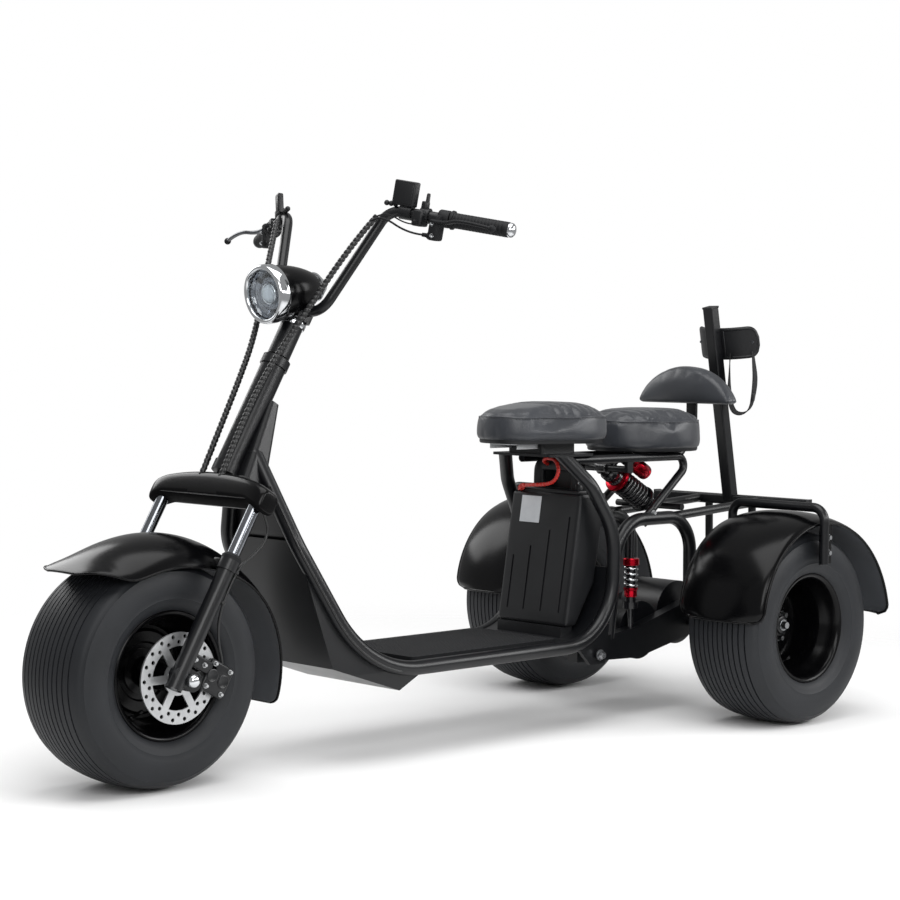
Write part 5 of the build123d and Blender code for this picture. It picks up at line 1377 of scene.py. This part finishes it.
def leadRing(i, t):  # a round jacket with fine waves along it
    return roundRing(lead["radius"] + lead["wave"] * math.sin(i * lead["waveStep"]), lead["sides"])


leadTube = sweep(leadLine, leadRing)
put("batteryLeadLoop", joined(leadTube, *plugParts), 45, "frame", "red_rubber", "redSilicone",
    stands=("battery_lead",))
print("trike: battery made")

# main shock: eyes, damper, preload collar, black coil and a red reservoir
shockTop, shockFoot = Vector((0, 0.4675, 0.590)), Vector((0, 0.6395, 0.494))
shockWay = (shockFoot - shockTop).normalized()
shockLong = (shockFoot - shockTop).length
shockUp = xAxis.cross(shockWay).normalized()
damper = [(0.012, 0.0), (0.012, 0.0180), (0.016, 0.0210), (0.034, 0.0220), (0.036, 0.0205), (0.046, 0.0205),
          (0.048, 0.0220), (0.053, 0.0220), (0.053, 0.0)]
collar = [(0.0525, 0.0), (0.0525, 0.0300), (0.0545, 0.0325), (0.0600, 0.0325), (0.0620, 0.0300),
          (0.0620, 0.0)]
rod = [(0.060, 0.0), (0.060, 0.0165), (0.108, 0.0165), (0.110, 0.0075), (shockLong - 0.012, 0.0075),
       (shockLong - 0.012, 0.0)]
footCup = [(shockLong - back, radius) for back, radius in
           ((0.036, 0.0), (0.036, 0.0300), (0.034, 0.0328), (0.029, 0.0328), (0.024, 0.0240),
            (0.018, 0.0150), (0.014, 0.0))]
eyelet = [(-0.0135, 0.0082), (-0.0140, 0.0135), (-0.0125, 0.0150), (0.0125, 0.0150), (0.0140, 0.0135),
          (0.0135, 0.0082)]
blackParts = [lathe(damper, shockTop, shockWay, 40, closed=False),
              lathe(rod, shockTop, shockWay, 32, closed=False),
              lathe(footCup, shockTop, shockWay, 40, closed=False), lathe(eyelet, shockTop, xAxis, 32),
              lathe(eyelet, shockFoot, xAxis, 32)]
put("shockDamper", joined(*blackParts), 40, "frame", "satin_black", "blackSpring", stands=("shock_body",))
put("shockCollar", lathe(collar, shockTop, shockWay, 40, closed=False), 40, "frame", "red_anodised",
    "redAnodised")
mainCoil = {"from": 0.067, "short": 0.041, "turns": 7.0, "radius": 0.026, "wire": 0.0050}
coil = setCoil("shockCoil", "frame", shockTop + shockWay * mainCoil["from"],
               shockTop + shockWay * (shockLong - mainCoil["short"]), mainCoil["turns"], mainCoil["radius"],
               mainCoil["wire"], "blackSpring")
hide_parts("shock_spring")
pot = shockTop + shockWay * 0.036 + xAxis * 0.022 + shockUp * 0.0500
potBody = [(0.018, 0.0), (0.018, 0.0184), (0.021, 0.0192), (0.030, 0.0192), (0.031, 0.0185),
           (0.033, 0.0185), (0.034, 0.0192), (0.076, 0.0192), (0.0775, 0.0181), (0.0785, 0.0181),
           (0.0800, 0.0190), (0.0840, 0.0181), (0.0865, 0.0148), (0.0870, 0.0)]
potCap = [(0.0, 0.0), (0.0, 0.0156), (0.003, 0.0190), (0.0165, 0.0190), (0.0180, 0.0170), (0.0180, 0.0)]
put("shockPot", lathe(potBody, pot, shockWay, 48, closed=False), 40, "frame", "red_anodised", "redAnodised",
    stands=("shock_reservoir",))
neckPath = splinePath([shockTop + shockWay * 0.030,
                       shockTop + shockWay * 0.012 + shockUp * 0.020 + xAxis * 0.006,
                       pot - shockWay * 0.016 - shockUp * 0.004, pot + shockWay * 0.006], 40)
neckParts = joined(lathe(potCap, pot, shockWay, 40, closed=False), tube(neckPath, 0.0105, 20))
put("shockNeck", neckParts, 40, "frame", "satin_black", "blackSpring")

# small shocks: chrome coil between red cups, a black body below
smallShock = {"x": 0.095, "y": 0.4635, "steps": 32, "coilFoot": 0.310, "coilTop": 0.358, "turns": 3.6,
              "coilRadius": 0.0152, "wire": 0.0028,
              "cups": [[(0.2860, 0.0), (0.2860, 0.0140), (0.288, 0.0155), (0.302, 0.0155), (0.3040, 0.0175),
                        (0.3080, 0.0175), (0.3080, 0.0)],
                       [(0.3615, 0.0), (0.3615, 0.0185), (0.363, 0.0198), (0.377, 0.0198), (0.3785, 0.0185),
                        (0.3785, 0.0)]]}
redParts = []
for number, side in enumerate((1, -1)):
    base = Vector((smallShock["x"] * side, smallShock["y"], 0))
    redParts += [lathe(cup, base, zAxis, smallShock["steps"], closed=False) for cup in smallShock["cups"]]
    setCoil("smallCoil%d" % number, "frame", base + zAxis * smallShock["coilFoot"],
            base + zAxis * smallShock["coilTop"], smallShock["turns"], smallShock["coilRadius"],
            smallShock["wire"], "chromePlate")
put("smallShockCups", joined(*redParts), 40, "frame", "red_anodised", "redAnodised")
print("trike: shocks made")

# edge welts: a thin strip along the front of each frame tube, from the crown down to the deck
welt = {"points": [(0.030, -0.6435, 0.660), (0.1125, -0.5955, 0.470), (0.150, -0.4335, 0.194),
                   (0.150, 0.3375, 0.194)],
        "bends": (0.150, 0.250), "reach": 0.0158, "top": 0.600, "end": -0.345, "lean": (0.86, 0.52),
        "radius": 0.0030, "sides": 10, "fine": 12}


def roundedPath(points, bends, steps=24):  # straight runs with round bends between them
    line = [points[0]]
    for before, corner, after, radius in zip(points, points[1:], points[2:], bends):
        near, far = (before - corner).normalized(), (after - corner).normalized()
        half = near.angle(far) / 2
        centre = corner + (near + far).normalized() * radius / math.sin(half)
        start = (corner + near * radius / math.tan(half) - centre).normalized()
        stop = (corner + far * radius / math.tan(half) - centre).normalized()
        line += [centre + start.slerp(stop, k / steps) * radius for k in range(steps + 1)]
    return line + [points[-1]]


weltParts = []
for side in (1, -1):
    tubeLine = roundedPath([Vector((x * side, y, z)) for x, y, z in welt["points"]], welt["bends"])
    fine = [a.lerp(b, k / welt["fine"]) for a, b in zip(tubeLine, tubeLine[1:])
            for k in range(welt["fine"])]
    edgeLine = []
    for spot, ahead in zip(fine, fine[1:]):
        way = (ahead - spot).normalized()
        out = xAxis * side * welt["lean"][0] + way.cross(xAxis) * welt["lean"][1]
        if spot.z < welt["top"] and spot.y < welt["end"]:
            edgeLine.append(spot + out.normalized() * welt["reach"])
    weltParts.append(tube(edgeLine, welt["radius"], welt["sides"]))
put("edgeWelts", joined(*weltParts), 50, "frame", "black_plastic", "spiralWrap")

# deck mat: low chequer studs on a moulded mat, set by a grid of points
mat = {"low": (-0.121, -0.277), "high": (0.121, 0.166), "z": 0.2128, "pitch": 0.0085, "radius": 0.0034,
       "height": 0.0014, "sides": 6, "taper": 0.6, "spare": 0.001}
studTree, studIn = newTree("matStuds", [("Radius", "Float"), ("Height", "Float"), ("Rubber", "Material")])
stud = addNode(studTree, "GeometryNodeMeshCone", {"Vertices": mat["sides"]},
               {"Radius Bottom": studIn["Radius"], "Depth": studIn["Height"],
                "Radius Top": scaled(studTree, studIn["Radius"], mat["taper"])})
studSet = addNode(studTree, "GeometryNodeInstanceOnPoints", None,
                  {"Points": studIn["Geometry"], "Instance": stud.outputs["Mesh"]})
endTree(studTree, studSet.outputs[0], studIn["Rubber"])
studSpots = []
rowCount = int((mat["high"][1] - mat["low"][1]) / mat["pitch"])
colCount = int((mat["high"][0] - mat["low"][0]) / mat["pitch"])
for i in range(rowCount + 1):
    for j in range(colCount + 1):
        x = mat["low"][0] + mat["pitch"] * (j + 0.5 * (i % 2))
        y = mat["low"][1] + mat["pitch"] * i
        if x < mat["high"][0] + mat["spare"]:
            studSpots.append((Vector((x, y, mat["z"])), zAxis))
studs = growFrom("matStuds", pointMesh("matStuds", studSpots), studTree,
                 {"Radius": mat["radius"], "Height": mat["height"], "Rubber": paint["softRubber"]})
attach(studs, "frame")

# seat bracket under the front saddle, pivot bolts, strut plates and end caps
saddle = {"y": 0.182, "plateZ": 0.6565, "plate": (0.088, 0.126, 0.004), "flangeX": (0.043, -0.043),
          "flangeZ": 0.6510, "flange": (0.003, 0.126, 0.013), "bevel": 0.001}
bracket = [bevelBlock(Vector((0, saddle["y"], saddle["plateZ"])), saddle["plate"], bevel=saddle["bevel"])]
bracket += [bevelBlock(Vector((x, saddle["y"], saddle["flangeZ"])), saddle["flange"], bevel=saddle["bevel"])
            for x in saddle["flangeX"]]
put("saddleBracket", joined(*bracket), 40, "frame", "steel", "groundSteel")
pivot = {"spot": (0.164, 0.2805, 0.170), "bolt": (0.0125, 0.008)}
pivotX, pivotY, pivotZ = pivot["spot"]
pivotSpots = [(Vector((pivotX * side, pivotY, pivotZ)), xAxis * side) for side in (1, -1)]
setScrews("pivotBolts", "frame", pivotSpots, *pivot["bolt"], "machinedAluminium")
strut = {"foot": (0.0985, 0.5235, 0.4760), "way": Vector((0.04, 0.826, 0.562)).normalized(), "bevel": 0.002,
         "plate": (0.005, 0.050, 0.028), "boltOut": 0.0026, "boltSteps": (-0.014, 0.014),
         "bolt": (0.0072, 0.005)}
strutAxes = (xAxis, strut["way"], xAxis.cross(strut["way"]))
strutPlates, strutBolts = [], []
for side in (1, -1):
    x, y, z = strut["foot"]
    strutFoot = Vector((x * side, y, z))
    strutPlates.append(bevelBlock(strutFoot, strut["plate"], strutAxes, strut["bevel"]))
    strutBolts += [(strutFoot + xAxis * side * strut["boltOut"] + strut["way"] * step, xAxis * side)
                   for step in strut["boltSteps"]]
put("strutBrackets", joined(*strutPlates), 40, "frame", "satin_black", "satinPowderCoat")
setScrews("strutBolts", "frame", strutBolts, *strut["bolt"], "groundSteel")
postPlate = bevelBlock(Vector((0, 0.7985, 0.7300)), (0.032, 0.007, 0.090), bevel=0.0025)
put("backrestBracket", postPlate, 40, "frame", "satin_black", "satinPowderCoat")
mast = {"foot": Vector((0, 0.9615, 0.494)), "lean": math.radians(10.9), "top": 0.5015, "rackEnd": 0.2465}
mastBack = spoke(mast["lean"])
mastUp = xAxis.cross(mastBack)
mastAxes = (xAxis, mastBack, mastUp)
mastCap = bevelBlock(mast["foot"] + mastUp * mast["top"], (0.031, 0.031, 0.005), mastAxes, 0.0012)
put("mastCap", mastCap, 40, "frame", "black_plastic", "mouldedAbs")
rackCaps = [bevelBlock(mast["foot"] + xAxis * mast["rackEnd"] * side, (0.004, 0.027, 0.027), bevel=0.0014)
            for side in (1, -1)]
put("rackCaps", joined(*rackCaps), 40, "frame", "black_plastic", "mouldedAbs")

# bag cradle: a padded cup with round ears, and its hanging strap with a slider
cradle = {"radius": 0.115, "back": 0.130, "foot": 0.368, "tall": 0.072, "wall": 0.008,
          "sweep": math.radians(53.6), "earFrom": 0.74, "earPower": 2.6, "earHalf": 0.010,
          "rows": 20, "steps": 48, "piping": 0.0052, "block": (0, 0.0185, 0.404),
          "blockSize": (0.044, 0.008, 0.068), "blockBevel": 0.002, "rivet": (0.083, 0.0515, 0.404),
          "rivetSize": (0.0045, 0.003), "rivetAim": (0.8, -0.6)}  # aim: out to the side, along the back


def mastSpot(x, y, z):
    return mast["foot"] + xAxis * x + mastBack * y + mastUp * z


grid, inward = [], []
for i in range(cradle["rows"] + 1):
    row, ways = [], []
    for j in range(cradle["steps"] + 1):
        t = 2 * j / cradle["steps"] - 1
        angle = cradle["sweep"] * t
        reach = max(0.0, (abs(t) - cradle["earFrom"]) / (1 - cradle["earFrom"]))
        ear = max(0.0, 1 - reach ** cradle["earPower"]) ** (1 / cradle["earPower"])
        half = max(cradle["tall"] / 2 * ear, cradle["earHalf"])
        row.append(mastSpot(cradle["radius"] * math.sin(angle),
                            cradle["back"] - cradle["radius"] * math.cos(angle),
                            cradle["foot"] + cradle["tall"] / 2 + half * (2 * i / cradle["rows"] - 1)))
        ways.append(mastBack * math.cos(angle) - xAxis * math.sin(angle))
    grid.append(row)
    inward.append(ways)
cupVerts, cupFaces, _ = sheetShell(grid, inward, cradle["wall"])
edgePath = [p + w * cradle["wall"] / 2 for p, w in zip(gridEdge(grid), gridEdge(inward))]
piping = tube(edgePath + edgePath[:2], cradle["piping"], 10, caps=False)
backBlock = bevelBlock(mastSpot(*cradle["block"]), cradle["blockSize"], mastAxes, cradle["blockBevel"])
put("cradleCup", joined((cupVerts, cupFaces), piping, backBlock), 50, "frame",
    "black_plastic", "mouldedAbs", stands=("bag_cradle",))
rivetX, rivetBack, rivetUp = cradle["rivet"]
aimOut, aimBack = cradle["rivetAim"]
rivets = [(mastSpot(rivetX * side, rivetBack, rivetUp),
           (mastBack * aimBack + xAxis * side * aimOut).normalized()) for side in (1, -1)]
setScrews("cradleRivets", "frame", rivets, *cradle["rivetSize"], "darkAnodised")
strap = {"wide": 0.025, "thick": 0.0026, "slope": 0.58, "curl": 0.35, "curlTurns": 7.0, "points": 120,
         "section": ((-1, -1), (-0.9, 1), (0.9, 1), (1, -1)), "slider": (0.030, 0.008, 0.022),
         "hangX": 0.080, "hangBack": 0.052, "hangUp": 0.012, "sliderBevel": 0.0025,
         "route": [(0.080, 0.0), (0.083, 0.030), (0.087, 0.070), (0.084, 0.110), (0.077, 0.148),
                   (0.056, 0.160), (0.036, 0.148), (0.029, 0.100), (0.029, 0.050), (0.030, 0.0)]}


def strapSpot(x, drop):
    back = strap["hangBack"] + strap["slope"] * (x - strap["hangX"])
    return mastSpot(x, back, cradle["foot"] + strap["hangUp"]) - zAxis * drop


strapLine = splinePath([strapSpot(*p) for p in strap["route"]], strap["points"])
strapAcross = Vector((-strap["slope"], 1, 0)).normalized()
rings = []
for i, point in enumerate(strapLine):
    ahead = (strapLine[min(i + 1, len(strapLine) - 1)] - strapLine[max(i - 1, 0)]).normalized()
    curl = strap["curl"] * math.sin(i / len(strapLine) * strap["curlTurns"])
    across = strapAcross * math.cos(curl) + ahead.cross(strapAcross).normalized() * math.sin(curl)
    across.normalize()
    out = ahead.cross(across).normalized()
    rings.append([point + across * a * strap["wide"] / 2 + out * b * strap["thick"] / 2
                  for a, b in strap["section"]])
put("cradleStrap", ringStack(rings), 45, "frame", "webbing", "wovenWebbing", stands=("bag_strap",))
third = len(strapLine) // 3
sliderWay = (strapLine[third + 2] - strapLine[third - 2]).normalized()
sliderAxes = (strapAcross, sliderWay.cross(strapAcross).normalized(), sliderWay)
sliderBlock = bevelBlock(strapLine[third], strap["slider"], sliderAxes, strap["sliderBevel"])
put("strapSlider", sliderBlock, 40, "frame", "black_plastic", "mouldedAbs")
print("trike: bag carrier made")
